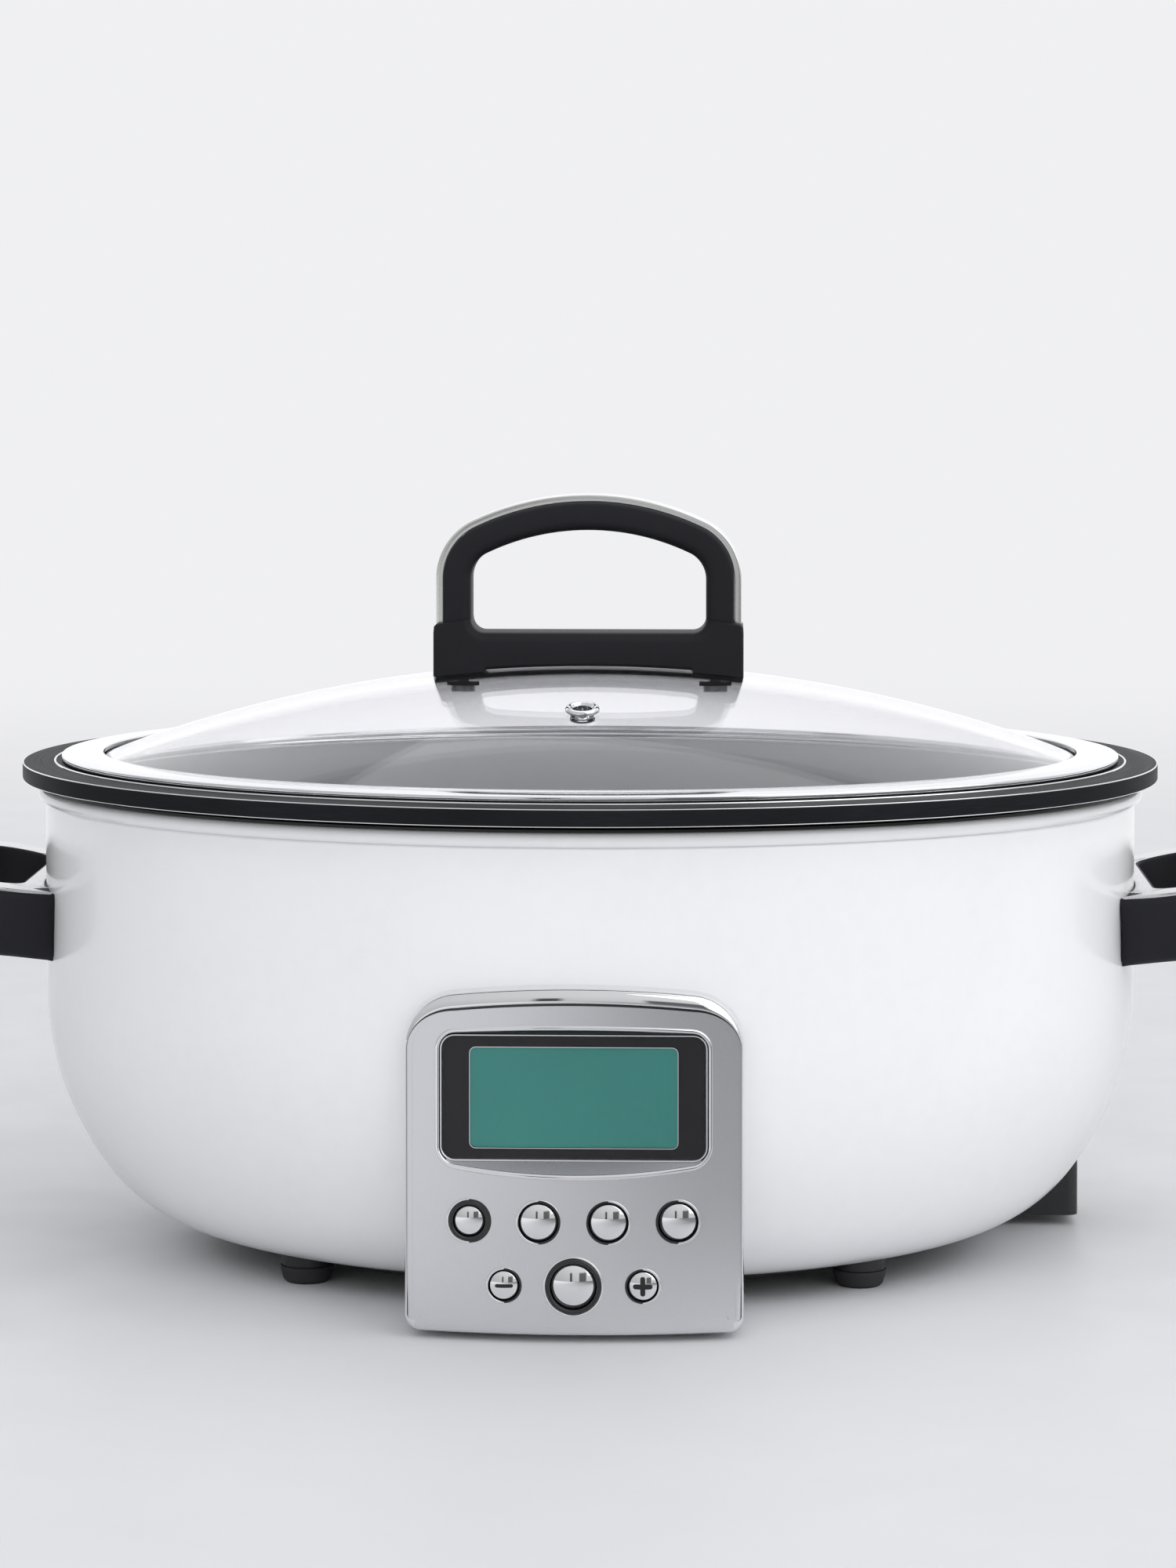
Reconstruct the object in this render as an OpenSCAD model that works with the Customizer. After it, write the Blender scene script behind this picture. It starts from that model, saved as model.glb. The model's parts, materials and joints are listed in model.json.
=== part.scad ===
// Oval programmable slow cooker: enamelled steel body, lift-out pot, glass lid and a control panel.
// Millimetres, +Z up, front towards -Y. The origin is on the counter, under the middle of the oval.

/* [Body] */
// Length of the oval body over its wall
body_w = 403; // [390:1:430]
// Depth of the oval body over its wall
body_d = 308; // [295:1:325]
// Height of the body from its bottom to the top of the rim bead
body_h = 162.2; // [156:0.1:175]
// Sheet thickness of the body
body_t = 1.2; // [0.8:0.1:1.6]
// Radius of the large rounding under the wall
shoulder_r = 110; // [100:1:120]
// Angle that the large rounding turns through
shoulder_angle = 37; // [30:1:42]
// Radius of the small rounding next to the flat bottom
heel_r = 57.3; // [50:0.5:62]
// Radius of the rolled bead at the rim
bead_r = 2.6; // [2:0.1:3]

/* [Base] */
// Height of the feet below the base tray
foot_h = 6; // [5:0.5:9]
// Diameter of a foot
foot_d = 19; // [15:0.5:22]
// Distance of the feet inside the body's wall, at the ends
foot_in_x = 103; // [97:0.5:116]
// Distance of the feet inside the body's wall, front and back
foot_in_y = 84; // [79:0.5:99]
// Thickness of the base tray
base_t = 3; // [2:0.5:4]
// Distance of the base tray's edge inside the body's wall, at the ends
base_in = 45.5; // [42:0.5:53]

/* [Pot] */
// Overhang of the pot's rim past the body's wall
rim_over = 8.5; // [6:0.5:12]
// Thickness of the pot's rim
rim_t = 6.3; // [4:0.1:7]
// Gap between the body's bead and the pot's rim
rim_gap = 2.6; // [1.5:0.1:4]
// Distance of the pot's mouth inside the body's wall
mouth_in = 18; // [16.5:0.5:21]
// Wall thickness of the pot
pot_t = 3; // [2:0.1:4]
// Height of the pot's underside above the body's bottom
pot_floor = 47.3; // [46:0.1:60]
// Radius of the pot's bottom corner, outside
pot_corner_r = 35; // [25:1:45]
// Draft of the pot's wall
draft = 4; // [2:0.5:5]

/* [Lid] */
// Distance of the lid's steel ring inside the pot's rim
ring_in = 14.3; // [10:0.1:18]
// Width of the ring's flat band
ring_w = 15.5; // [12:0.5:16]
// Height of the ring above the pot's rim
ring_h = 2; // [1.8:0.1:3]
// Height of the glass dome above the ring
dome_h = 28.6; // [20:0.2:36]
// Thickness of the glass
glass_t = 4; // [3:0.1:4.2]
// Distance of the steam vent from the middle, towards the front
vent_y = 73; // [60:1:90]
// Outer diameter of the vent's eyelet
vent_d = 11.7; // [9:0.1:14]

/* [Lid handle] */
// Width of the arch between its outer faces
arch_w = 107.6; // [95:0.2:115]
// Height of the arch above the top of the dome
arch_h = 63.1; // [50:0.1:75]
// Thickness of the bar, across the opening
arch_bar = 10.4; // [8:0.2:13]
// Depth of the bar, front to back
arch_depth = 20; // [16:0.5:26]
// Radius of the crown along the bar's middle
crown_r = 92; // [80:1:120]
// Radius of the arch's shoulders along the bar's middle
arch_corner_r = 16; // [12:0.5:22]
// Width of the handle's base over its end blocks
lug_w = 114.6; // [110:0.2:120]
// Rise of the base bar's underside in its middle
bow_h = 2; // [0.5:0.1:3]
// Thickness of the steel strip over the arch
strip_t = 2.4; // [1:0.1:3]

/* [Side handles] */
// Height of the bar
grip_h = 24; // [18:0.5:28]
// Width of the bar seen from above
grip_w = 14; // [11:0.5:17]
// Depth of the handle's underside below the rim, at the wall
grip_drop = 59.2; // [46:0.2:66]
// Half distance between the arms' middles, at the wall
arm_y = 40.5; // [34:0.5:46]
// Straight length of an arm
arm_l = 12; // [8:0.5:20]
// Angle at which the arms spread
arm_splay = 30; // [15:1:35]
// Radius of the loop's corners along the bar's middle
grip_corner_r = 24; // [20:0.5:30]
// Upward tilt of the loop
grip_tilt = 10; // [0:1:15]
// Thickness of the handle's foot against the wall
grip_foot_t = 6.5; // [5:0.5:9]
// Thickness of the steel trim on top of the loop
trim_t = 1.2; // [0.8:0.1:1.6]

/* [Panel] */
// Width of the control panel
panel_w = 114.6; // [112:0.2:122]
// Height of the panel's lower edge above the counter
panel_z = 3.6; // [3:0.1:5]
// Height of the panel's upper edge above the counter
panel_top = 120; // [117:0.5:125]
// How far the panel's front stands proud of the body
panel_proud = 8.4; // [7:0.1:11]
// Radius of the panel's convex front, seen from above
panel_r = 240; // [200:5:300]
// Radius of the panel's arched upper edge
panel_arch_r = 340; // [280:10:500]
// Radius of the panel's upper corners
panel_corner_r = 19; // [14:0.5:24]
// Width of the surround's lip round the face plate
lip_w = 2.2; // [1.8:0.1:3]
// Depth of the face plate below the lip
face_drop = 0.8; // [0.4:0.1:1.2]
// Thickness of the face plate
face_t = 2; // [1.5:0.1:2.4]

/* [Display] */
// Width of the display's window
display_w = 88.6; // [84:0.2:90]
// Height of the display's window
display_h = 41.4; // [38:0.2:42]
// Height of the window's middle above the counter
display_z = 82.2; // [81:0.2:83]
// Width of the frame beside the window
frame_w = 1.7; // [1.4:0.1:2.4]
// Depth of the sill above the window, in its middle
sill_top = 3.6; // [3:0.1:4.5]
// Depth of the sill below the window, in its middle
sill_foot = 5.2; // [4.5:0.1:6]
// Width of the liquid crystal panel
lcd_w = 70; // [60:0.5:76]
// Height of the liquid crystal panel
lcd_h = 34; // [28:0.5:36]

/* [Buttons] */
// Distance between the upper buttons
button_pitch = 23.4; // [20:0.1:25]
// Height of the upper row above the counter
upper_row_z = 41; // [39:0.5:43]
// Height of the lower row above the counter
lower_row_z = 19.5; // [18:0.5:21]
// Distance of the small buttons from the middle
small_button_x = 23.3; // [21:0.1:26]
// Outer diameter of the upper buttons' rings
ring_d = 15; // [13:0.1:16]
// Outer diameter of the small buttons' rings
small_ring_d = 12; // [10:0.1:13]
// Outer diameter of the start button's ring
start_ring_d = 20; // [18:0.1:22]
// Travel of the buttons
button_travel = 1; // [0.6:0.1:1.2]

/* [Heater] */
// Distance of the heating plate's edge inside the body's wall, at the ends
plate_in = 76.5; // [66:0.5:90]
// Thickness of the heating plate
plate_t = 6; // [4:0.5:8]
// Radius of the heating element's ring
element_r = 58; // [50:1:62]
// Diameter of the heating element's tube
element_d = 6.6; // [6:0.2:8]
// Height of the heating plate above the liner's floor
plate_lift = 9; // [8:0.5:12]

/* [Hidden] */
$fn = 96;

seat = 0.1;          // gap between pieces that are fastened to each other
slack = 0.3;         // gap between pieces that move past or stand on each other
lap = 3;             // angle that a rounding runs on into the straight after it
tuck = 0.005;        // depth at which that straight starts inside the rounding
core = 0.7;          // share of the roundings' radii that a body's filled middle reaches
oval_gap = (body_w - body_d) / 2;

// Body: the wall stands on two tangent arcs, and the bottom is flat.
body_a = body_w / 2;
base_a = body_a - base_in;
foot_x = body_a - foot_in_x;
foot_y = body_d / 2 - foot_in_y;
body_z = foot_h + base_t;
rim_z = body_z + body_h;
shoulder_x = body_a - shoulder_r;
heel_x = shoulder_x + (shoulder_r - heel_r) * cos(shoulder_angle);
heel_z = body_z + heel_r;
shoulder_z = heel_z + (shoulder_r - heel_r) * sin(shoulder_angle);
bottom_hole_a = heel_x - 25;
screw_a = bottom_hole_a + 10;
tray_lip = 4;        // height of the tray's edge above the body's bottom
base_screw_r = 2;
base_head_r = 3.6;
base_head_t = 1.9;

// Pot and liner
pot_rim_z = rim_z + rim_gap;
pot_top = pot_rim_z + rim_t;
pot_z = body_z + pot_floor;
rim_a = body_a + rim_over;
mouth_a = body_a - mouth_in;
pot_a = mouth_a + pot_t;
rim_r = 1.5;
liner_t = 1;
liner_clear = 3;
liner_a = pot_a + liner_clear;
liner_flange_a = body_a + 1.5;
plate_top = pot_z - slack;
plate_z = plate_top - plate_t;
plate_a = body_a - plate_in;
liner_floor = plate_z - plate_lift;
liner_corner_r = pot_corner_r + liner_clear;

// Heater mounting
shield_t = 0.8;
shield_a = bottom_hole_a + 44;
shield_z = body_z + 15;
shield_h = 10;
stud_r = 4;
stud_x = 80;
stud_y = 40;
spacer_r = 4;
spacer_x = 70;
spacer_y = 30;
terminal_x = 12;
terminal_hole_r = 5;
power_w = 60;        // board under the shield, with its posts, relay, capacitor and plug
power_d = 40;
post_h = 5;
post_in = 4;
post_r = 2.2;
relay_w = 20;
relay_d = 16;
relay_h = 8;
cap_r = 6;
plug_w = 14;
plug_d = 8;
plug_h = 6;
sensor_r = 12;
sensor_hole_r = sensor_r + 0.8;
stem_r = 4;
sensor_travel = 2.5;
spring_wire = 1.2;
spring_turns = 4;

// Lid
lid_z = pot_top + slack;
ring_top = lid_z + ring_h;
ring_a = rim_a - ring_in;
ring_inner_a = ring_a - ring_w;
skirt_t = 1;
glass_a = ring_inner_a + 1.2;
skirt_a = glass_a + skirt_t + 0.2;
band_t = 0.8;
glass_edge = ring_top - band_t - 0.6;
lip_z = glass_edge - glass_t - 1.6;
dome_top = ring_top + dome_h;
dome_rise = dome_top - glass_edge;
dome_r = (pow(glass_a, 2) + pow(dome_rise, 2)) / (2 * dome_rise);
vent_hole_r = vent_d / 2 - 2.4;
vent_collar = 0.6;   // wall of the eyelet's collar
vent_flange = 1.4;
vent_lift = 0.15;    // gap between the flange and the middle of the dome under it
glass_k = (glass_a - oval_gap) / glass_a;
vent_rise = sqrt(pow(dome_r, 2) - pow(vent_y / glass_k, 2));
vent_z = dome_top - dome_r + vent_rise;
vent_tilt = atan2(vent_y / pow(glass_k, 2), vent_rise);

// Lid handle: legs, shoulders and crown are tangent along the bar's middle.
leg_x = (arch_w - arch_bar) / 2;
arch_top = dome_top + arch_h;
crown_z = arch_top - arch_bar / 2 - crown_r;
corner_x = leg_x - arch_corner_r;
corner_z = crown_z + sqrt(pow(crown_r - arch_corner_r, 2) - pow(corner_x, 2));
crown_angle = atan2(corner_x, corner_z - crown_z);
crossbar_z = dome_top + 3.6;
crossbar_top = crossbar_z + 12.6;
lug_top = crossbar_top + 3.2;
lug_l = 19;
lug_depth = arch_depth + 4;
bow_half = lug_w / 2 - lug_l;
bow_r = (pow(bow_half, 2) + pow(bow_h, 2)) / (2 * bow_h);
lid_screw_x = lug_w / 2 - lug_l / 2 - 1;
lid_screw_r = 2;
lid_head_r = 4.5;
lid_screw_grip = 7;  // length of the screws in the handle's base
lug_sink = 12;       // depth to which the end blocks reach below the dome's top, before they are cut to it
lid_head_t = 2;
washer_r = 6;
washer_t = 1.5;
glass_under = dome_top - dome_r + sqrt(pow(dome_r - glass_t, 2) - pow(lid_screw_x + washer_r, 2));
washer_z = glass_under - washer_t - seat;
opening_r = 5;

// Side handles
trim_inset = 1;
grip_z = rim_z - grip_drop;
arm_end = [arm_l * cos(arm_splay), -arm_y - arm_l * sin(arm_splay)];
grip_c = arm_end + grip_corner_r * [sin(arm_splay), cos(arm_splay)];
handle_screw_r = 2.5;
handle_screw_z = grip_z + grip_h / 2;
handle_screw_y = arm_y - 4;
screw_head_r = 4.2;
screw_head_t = 2;
screw_back = 3.6;    // depth of the head's back behind the wall's inner face

// Panel
panel_reach = body_d / 2 + panel_proud;
panel_c = panel_reach - panel_r;
corner_cx = panel_w / 2 - panel_corner_r;
arch_cz = panel_top - panel_arch_r;
corner_cz = arch_cz + sqrt(pow(panel_arch_r - panel_corner_r, 2) - pow(corner_cx, 2));
face_curve = panel_r - face_drop;
bottom_corner_r = 4;
window_y = -(panel_c + sqrt(pow(face_curve, 2) - pow(display_w / 2 + frame_w, 2)));
window_r = 4;
opening_corner_r = 6;
bow_top = 1.8;       // rise of the opening's upper edge
bow_foot = 3.5;      // drop of the opening's lower edge
bezel_t = 2;
lens_t = 1;
mask_t = 0.8;
lcd_t = 3;
board_y = window_y + bezel_t + lcd_t + 1.2;
board_t = 1.6;
board_w = 86;
board_top = display_z + display_h / 2 + 5;
board_z = lower_row_z - 9;
hole_margin = 4;
shell_hole_w = board_w + 2 * hole_margin;
shell_hole_z = board_z + 34.5;
shell_hole_top = board_top + hole_margin;
board_screw_x = board_w / 2 - 3;
board_screw_in = 4;  // distance of the screws from the board's upper and lower edge
board_screw_r = 1.5;
board_head_r = 2.8;
lcd_back_x = 3;      // how far the LCD's back stands past its front, sideways
lcd_back_z = 2;      // and upward and downward
cover_lift = 32;     // height of the cover's lower edge above the board's
cover_d = 2.8;
cover_wall = 8;      // width of the cover's ends
cover_rim = 3;       // width of its upper and lower edges

// Buttons: place, ring diameter and cap diameter of each
button_gap = 0.3;
cap_rise = 1;
UPPER_X = [for (i = [-1.5:1:1.5]) i * button_pitch];
BUTTONS = [
    [UPPER_X[0], upper_row_z, ring_d, ring_d - 4.6],
    [UPPER_X[1], upper_row_z, ring_d, ring_d - 2.2],
    [UPPER_X[2], upper_row_z, ring_d, ring_d - 2.2],
    [UPPER_X[3], upper_row_z, ring_d, ring_d - 2.2],
    [-small_button_x, lower_row_z, small_ring_d, small_ring_d - 2],
    [0, lower_row_z, start_ring_d, start_ring_d - 4.8],
    [small_button_x, lower_row_z, small_ring_d, small_ring_d - 2]
];

// Cord inlet, at the back under the right end
inlet_x = body_a - 17.5;
inlet_w = 44;
inlet_y = 28;
inlet_d = 42;
inlet_z = 4;
inlet_h = 58;
inlet_t = 2.5;
gland_r = 6.5;
gland_bore_r = 3.75;
gland_l = 10;
gland_x = inlet_x - inlet_w / 2;
gland_z = inlet_z + 16;

// ---------- shared shapes ----------

// Turns a half outline about +Z into an oval whose half length is a, in four parts.
module oval_turn(a) {
    for (start = [45:90:315]) scale([1, (a - oval_gap) / a, 1]) {
        rotate([0, 0, start]) rotate_extrude(angle = 90) children();
    }
}

// Oval disc of half length a, from z0 up to z1.
module oval_disc(a, z0, z1) {
    translate([0, 0, z0]) linear_extrude(z1 - z0) scale([1, (a - oval_gap) / a]) circle(a);
}

// Part of a disc between two directions less than 180 degrees apart.
module sector(r, from, to) {
    reach = r / cos((to - from) / 2) * 1.2;
    mid = (from + to) / 2;
    intersection() {
        circle(r);
        polygon([[0, 0], for (a = [from, mid, to]) reach * [cos(a), sin(a)]]);
    }
}

// Filled half outline of the body, drawn in by inset.
module body_section(inset, top) {
    heel = [heel_x, heel_z];
    shoulder = [shoulder_x, shoulder_z];
    wall_x = body_a - inset - 2 * tuck;
    floor_z = body_z + inset + tuck;
    translate(shoulder) sector(shoulder_r - inset - tuck, -shoulder_angle, lap);
    translate(heel) sector(heel_r - inset, -90 - lap, lap - shoulder_angle);
    polygon([
        [0, floor_z], [heel_x, floor_z], heel + core * heel_r * [cos(60), -sin(60)],
        shoulder + core * shoulder_r * [cos(20), -sin(20)], [wall_x, shoulder_z], [wall_x, top], [0, top]
    ]);
}

// Filled oval body, drawn in by inset.
module body_solid(inset, top) {
    oval_turn(body_a - inset) body_section(inset, top);
}

// Filled half outline of a tub with a sloping wall and one round corner, drawn in by inset.
// It measures a at the height rim, and its wall runs on above that by over.
module tub_section(a, rim, bottom, r, inset, over) {
    cz = bottom + r;
    cx = a + (sin(draft) * (cz - rim) - r) / cos(draft);
    wall = [cx, cz] + (r - inset - tuck) * [cos(draft), -sin(draft)];
    floor_z = bottom + inset + tuck;
    top = rim + over;
    up = (top - wall[1]) * tan(draft);
    translate([cx, cz]) sector(r - inset, -90 - lap, lap - draft);
    polygon([[0, floor_z], [cx, floor_z], [cx, cz], wall, [wall[0] + up, top], [0, top]]);
}

// Filled oval tub, drawn in by inset.
module tub_solid(a, rim, bottom, r, inset, over) {
    oval_turn(a - inset) tub_section(a, rim, bottom, r, inset, over);
}

// Half outline of a domed layer, between two depths below the glass's upper face.
module dome_section(upper, lower) {
    intersection() {
        translate([0, dome_top - dome_r]) difference() {
            circle(dome_r - upper, $fn = 240);
            circle(dome_r - lower, $fn = 240);
        }
        translate([0, glass_edge - lower]) square([glass_a, dome_rise + lower + 5]);
    }
}

// Rectangle with round corners, centred.
module round_rect(w, h, r) {
    square([w - 2 * r, h], center = true);
    square([w, h - 2 * r], center = true);
    for (x = [-1, 1], y = [-1, 1]) {
        translate([x * (w / 2 - r), y * (h / 2 - r)]) circle(r, $fn = 48);
    }
}

// Stands a flat outline up in the XZ plane, from y0 back to y1.
module upright(y0, y1) {
    translate([0, y1, 0]) rotate([90, 0, 0]) linear_extrude(y1 - y0) children();
}

// Round bar along +Y, from y0 to y1.
module bar_y(r, y0, y1) {
    translate([0, y0, 0]) rotate([-90, 0, 0]) cylinder(h = y1 - y0, r = r, $fn = 48);
}

module four(x, y) {
    for (sx = [-1, 1], sy = [-1, 1]) translate([sx * x, sy * y, 0]) children();
}

module both_ends(x) {
    for (s = [-1, 1]) translate([s * x, 0, 0]) children();
}

// ---------- body and base ----------

module housing() {
    color("whitesmoke") difference() {
        oval_turn(body_a) difference() {
            union() {
                body_section(0, rim_z - bead_r);
                translate([body_a + bead_r / 10, rim_z - bead_r]) circle(bead_r, $fn = 48);
            }
            body_section(body_t, rim_z + 5);
            square([bottom_hole_a, body_z + 20]);
        }
        translate([-shell_hole_w / 2, -body_a, shell_hole_z]) {
            cube([shell_hole_w, body_a - 60, shell_hole_top - shell_hole_z]);
        }
        for (s = [-1, 1], y = [-1, 1]) {
            translate([s * (body_a - 10), y * handle_screw_y, handle_screw_z]) {
                rotate([0, 90, 0]) cylinder(h = 50, r = handle_screw_r + seat, center = true);
            }
        }
        base_screw_places() cylinder(h = 20, r = base_screw_r + seat, center = true, $fn = 32);
        translate([gland_x - 15, inlet_y + inlet_d / 2 - 5, body_z]) cube([10, 10, 35]);
    }
}

module base_screw_places() {
    for (a = [30, 150, 210, 330]) {
        translate([screw_a * cos(a), (screw_a - oval_gap) * sin(a), body_z]) children();
    }
}

module base_tray() {
    color("dimgray") difference() {
        oval_turn(body_a) difference() {
            translate([0, foot_h]) square([base_a, base_t + tray_lip]);
            translate([-10, body_z - seat]) square([heel_x + 10, 20]);
            translate([heel_x, heel_z]) circle(heel_r + seat);
        }
        for (x = [-4:4], y = [-1, 1]) {
            translate([x * 11, y * 22, foot_h]) linear_extrude(20, center = true) round_rect(4, 24, 1.9);
        }
        base_screw_places() cylinder(h = 20, r = base_screw_r + seat, center = true, $fn = 32);
    }
}

// Room that the pieces round the base tray leave for it.
module tray_room() {
    scale([1, (body_a - oval_gap) / body_a, 1]) {
        cylinder(h = body_z + tray_lip + 1, r = base_a + slack, $fn = 240);
    }
}

module feet() {
    color("black") four(foot_x, foot_y) rotate_extrude($fn = 48) {
        polygon([
            [0, 0], [foot_d / 2 - 2, 0], [foot_d / 2 - 1, 1], [foot_d / 2, foot_h - 1.5],
            [foot_d / 2, foot_h - seat], [0, foot_h - seat]
        ]);
    }
}

module base_screws() {
    color("silver") base_screw_places() {
        translate([0, 0, -base_t - seat - base_head_t]) cylinder(h = base_head_t, r = base_head_r, $fn = 32);
        translate([0, 0, -base_t - 1]) cylinder(h = base_t + 6, r = base_screw_r, $fn = 32);
    }
}

// ---------- well and heater ----------

// Filled half outline of the liner, drawn in by inset.
module liner_section(inset, over) {
    bottom = liner_floor - liner_t;
    tub_section(liner_a + liner_t, rim_z + liner_t, bottom, liner_corner_r + liner_t, inset, over);
}

module inner_liner() {
    color("silver") difference() {
        union() {
            oval_turn(body_a) liner_section(0, 0);
            oval_turn(body_a) translate([liner_a - 5, rim_z + seat]) {
                square([liner_flange_a - liner_a + 5, liner_t - seat]);
            }
        }
        oval_turn(body_a) liner_section(liner_t, 5);
        translate([0, 0, liner_floor - 5]) cylinder(h = 10, r = 9);
        both_ends(terminal_x) translate([0, -element_r, liner_floor - 5]) {
            cylinder(h = 10, r = terminal_hole_r);
        }
    }
}

module heat_shield() {
    color("lightgray") difference() {
        tub_solid(shield_a, shield_z + shield_h, shield_z, 8, 0, 0);
        tub_solid(shield_a, shield_z + shield_h, shield_z, 8, shield_t, 1);
        both_ends(terminal_x) translate([0, -element_r, shield_z - shield_h]) {
            cylinder(h = 2 * shield_h, r = terminal_hole_r);
        }
        four(spacer_x, spacer_y) translate([0, 0, shield_z - shield_h]) {
            cylinder(h = 2 * shield_h, r = spacer_r / 2, $fn = 32);
        }
    }
}

module shield_spacers() {
    color("gray") four(spacer_x, spacer_y) {
        translate([0, 0, body_z]) cylinder(h = shield_z - body_z - seat, r = spacer_r, $fn = 32);
        translate([0, 0, shield_z - 1]) cylinder(h = shield_t + 2, r = spacer_r / 2 - seat, $fn = 32);
    }
}

module heating_plate() {
    color("darkgray") difference() {
        oval_disc(plate_a, plate_z, plate_top);
        translate([0, 0, plate_z - 1]) cylinder(h = plate_t + 2, r = sensor_hole_r);
        for (a = [plate_a - 18, plate_a - 36]) {
            difference() {
                oval_disc(a, plate_top - 0.8, plate_top + 1);
                oval_disc(a - 2, plate_top - 2, plate_top + 2);
            }
        }
    }
}

module heating_element() {
    z = plate_z - element_d / 2 - seat;
    color("dimgray") {
        translate([0, 0, z]) difference() {
            rotate_extrude() translate([element_r, 0]) circle(element_d / 2, $fn = 32);
            translate([-terminal_x + 4, -element_r - 10, -5]) cube([2 * terminal_x - 8, 20, 10]);
        }
        both_ends(terminal_x) translate([0, -element_r + 1, shield_z - 4]) {
            cylinder(h = z - shield_z + 4, r = element_d / 2 - 0.3, $fn = 32);
        }
    }
}

module plate_studs() {
    color("gray") four(stud_x, stud_y) translate([0, 0, liner_floor + seat]) {
        cylinder(h = plate_lift - 2 * seat, r = stud_r, $fn = 32);
    }
}

module sensor_guide() {
    color("gray") translate([0, 0, liner_floor + seat]) difference() {
        union() {
            cylinder(h = 2, r = sensor_r);
            translate([0, 0, -6]) cylinder(h = 7, r = 9 - seat);
        }
        translate([0, 0, -7]) cylinder(h = 12, r = stem_r + slack);
    }
}

module temperature_sensor() {
    color("silver") {
        translate([0, 0, plate_top - 5]) rotate_extrude() {
            polygon([[0, 0], [sensor_r, 0], [sensor_r, 4], [sensor_r - 1, 5], [0, 5]]);
        }
        translate([0, 0, liner_floor - 8]) cylinder(h = plate_top - 4 - liner_floor + 8, r = stem_r);
    }
}

// The spring is a stack of rings, each a little apart.
module sensor_spring() {
    z0 = liner_floor + 2 + seat;
    z1 = plate_top - 5 - sensor_travel;
    pitch = (z1 - z0 - spring_wire) / (spring_turns - 1);
    color("goldenrod") for (i = [0:spring_turns - 1]) {
        translate([0, 0, z0 + slack / 2 + spring_wire / 2 + i * pitch]) {
            rotate_extrude($fn = 48) translate([stem_r + 3, 0]) circle(spring_wire / 2, $fn = 16);
        }
    }
}

module power_board() {
    z = body_z + post_h;
    color("darkgreen") translate([-power_w / 2, -power_d / 2, z]) cube([power_w, power_d, board_t]);
    color("darkgreen") four(power_w / 2 - post_in, power_d / 2 - post_in) translate([0, 0, body_z - seat]) {
        cylinder(h = post_h + board_t / 2, r = post_r, $fn = 32);
    }
    color("royalblue") translate([-relay_w - post_in, -relay_d + post_in, z + 1]) {
        cube([relay_w, relay_d, relay_h]);
    }
    color("black") translate([power_w / 2 - post_in - 2 * cap_r, post_in, z + 1]) {
        cylinder(h = relay_h, r = cap_r);
    }
    color("black") translate([1.5 * post_in, -power_d / 2 + post_in, z + 1]) {
        cube([plug_w, plug_d, plug_h]);
    }
}

// ---------- pot ----------

module pot() {
    color("#222224") difference() {
        union() {
            tub_solid(pot_a, pot_top, pot_z, pot_corner_r, 0, -1);
            oval_turn(rim_a) {
                translate([0, pot_rim_z]) square([rim_a - rim_r, rim_t]);
                translate([0, pot_rim_z + rim_r]) square([rim_a, rim_t - 2 * rim_r]);
                for (z = [pot_rim_z + rim_r, pot_top - rim_r]) {
                    translate([rim_a - rim_r, z]) circle(rim_r, $fn = 32);
                }
            }
        }
        tub_solid(pot_a, pot_top, pot_z, pot_corner_r, pot_t, 5);
    }
}

// ---------- lid ----------

module lid_glass() {
    color([0.4, 0.45, 0.48, 0.35]) difference() {
        oval_turn(glass_a) dome_section(0, glass_t);
        translate([0, -vent_y, vent_z]) rotate([vent_tilt, 0, 0]) {
            cylinder(h = 3 * glass_t, r = vent_hole_r + vent_collar + seat, center = true);
        }
        both_ends(lid_screw_x) cylinder(h = dome_top + 10, r = lid_screw_r + 1);
    }
}

module lid_ring() {
    color("gainsboro") difference() {
        union() {
            oval_disc(ring_a, lid_z, ring_top - 0.5);
            oval_disc(ring_a - 0.5, lid_z, ring_top);
            oval_disc(skirt_a, lip_z, lid_z + 0.5);
        }
        oval_disc(glass_a + seat, lip_z + 1, ring_top - band_t);
        oval_disc(ring_inner_a, ring_top - band_t - 1, ring_top + 1);
        oval_disc(ring_inner_a - 2, lip_z - 1, lip_z + 2);
    }
}

module vent_eyelet() {
    color("silver") translate([0, -vent_y, vent_z]) rotate([vent_tilt, 0, 0]) difference() {
        union() {
            translate([0, 0, vent_lift]) cylinder(h = vent_flange, r = vent_d / 2);
            translate([0, 0, -glass_t - 1.6]) cylinder(h = glass_t + 2.6, r = vent_hole_r + vent_collar);
            translate([0, 0, -glass_t - 1.6]) cylinder(h = 1, r = vent_hole_r + 2 * vent_collar + 1);
        }
        translate([0, 0, -glass_t - 4]) cylinder(h = glass_t + 10, r = vent_hole_r);
    }
}

// Filled outline of the arch above z0, grown by o from the bar's middle.
module arch_region(o, z0) {
    intersection() {
        union() {
            translate([0, crown_z]) sector(crown_r + o, 90 - crown_angle, 90 + crown_angle);
            both_ends(corner_x) translate([0, corner_z]) circle(arch_corner_r + o);
            translate([-leg_x - o, z0 - 1]) square([2 * (leg_x + o), corner_z - z0 + 1]);
        }
        translate([-arch_w, z0]) square([2 * arch_w, arch_w]);
    }
}

// Opening of the lid handle, with round lower corners.
module arch_opening() {
    w = leg_x - arch_bar / 2;
    arch_region(-arch_bar / 2, crossbar_top + opening_r);
    translate([opening_r - w, crossbar_top]) square([2 * (w - opening_r), opening_r + 1]);
    both_ends(w - opening_r) translate([0, crossbar_top + opening_r]) circle(opening_r, $fn = 48);
}

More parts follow.
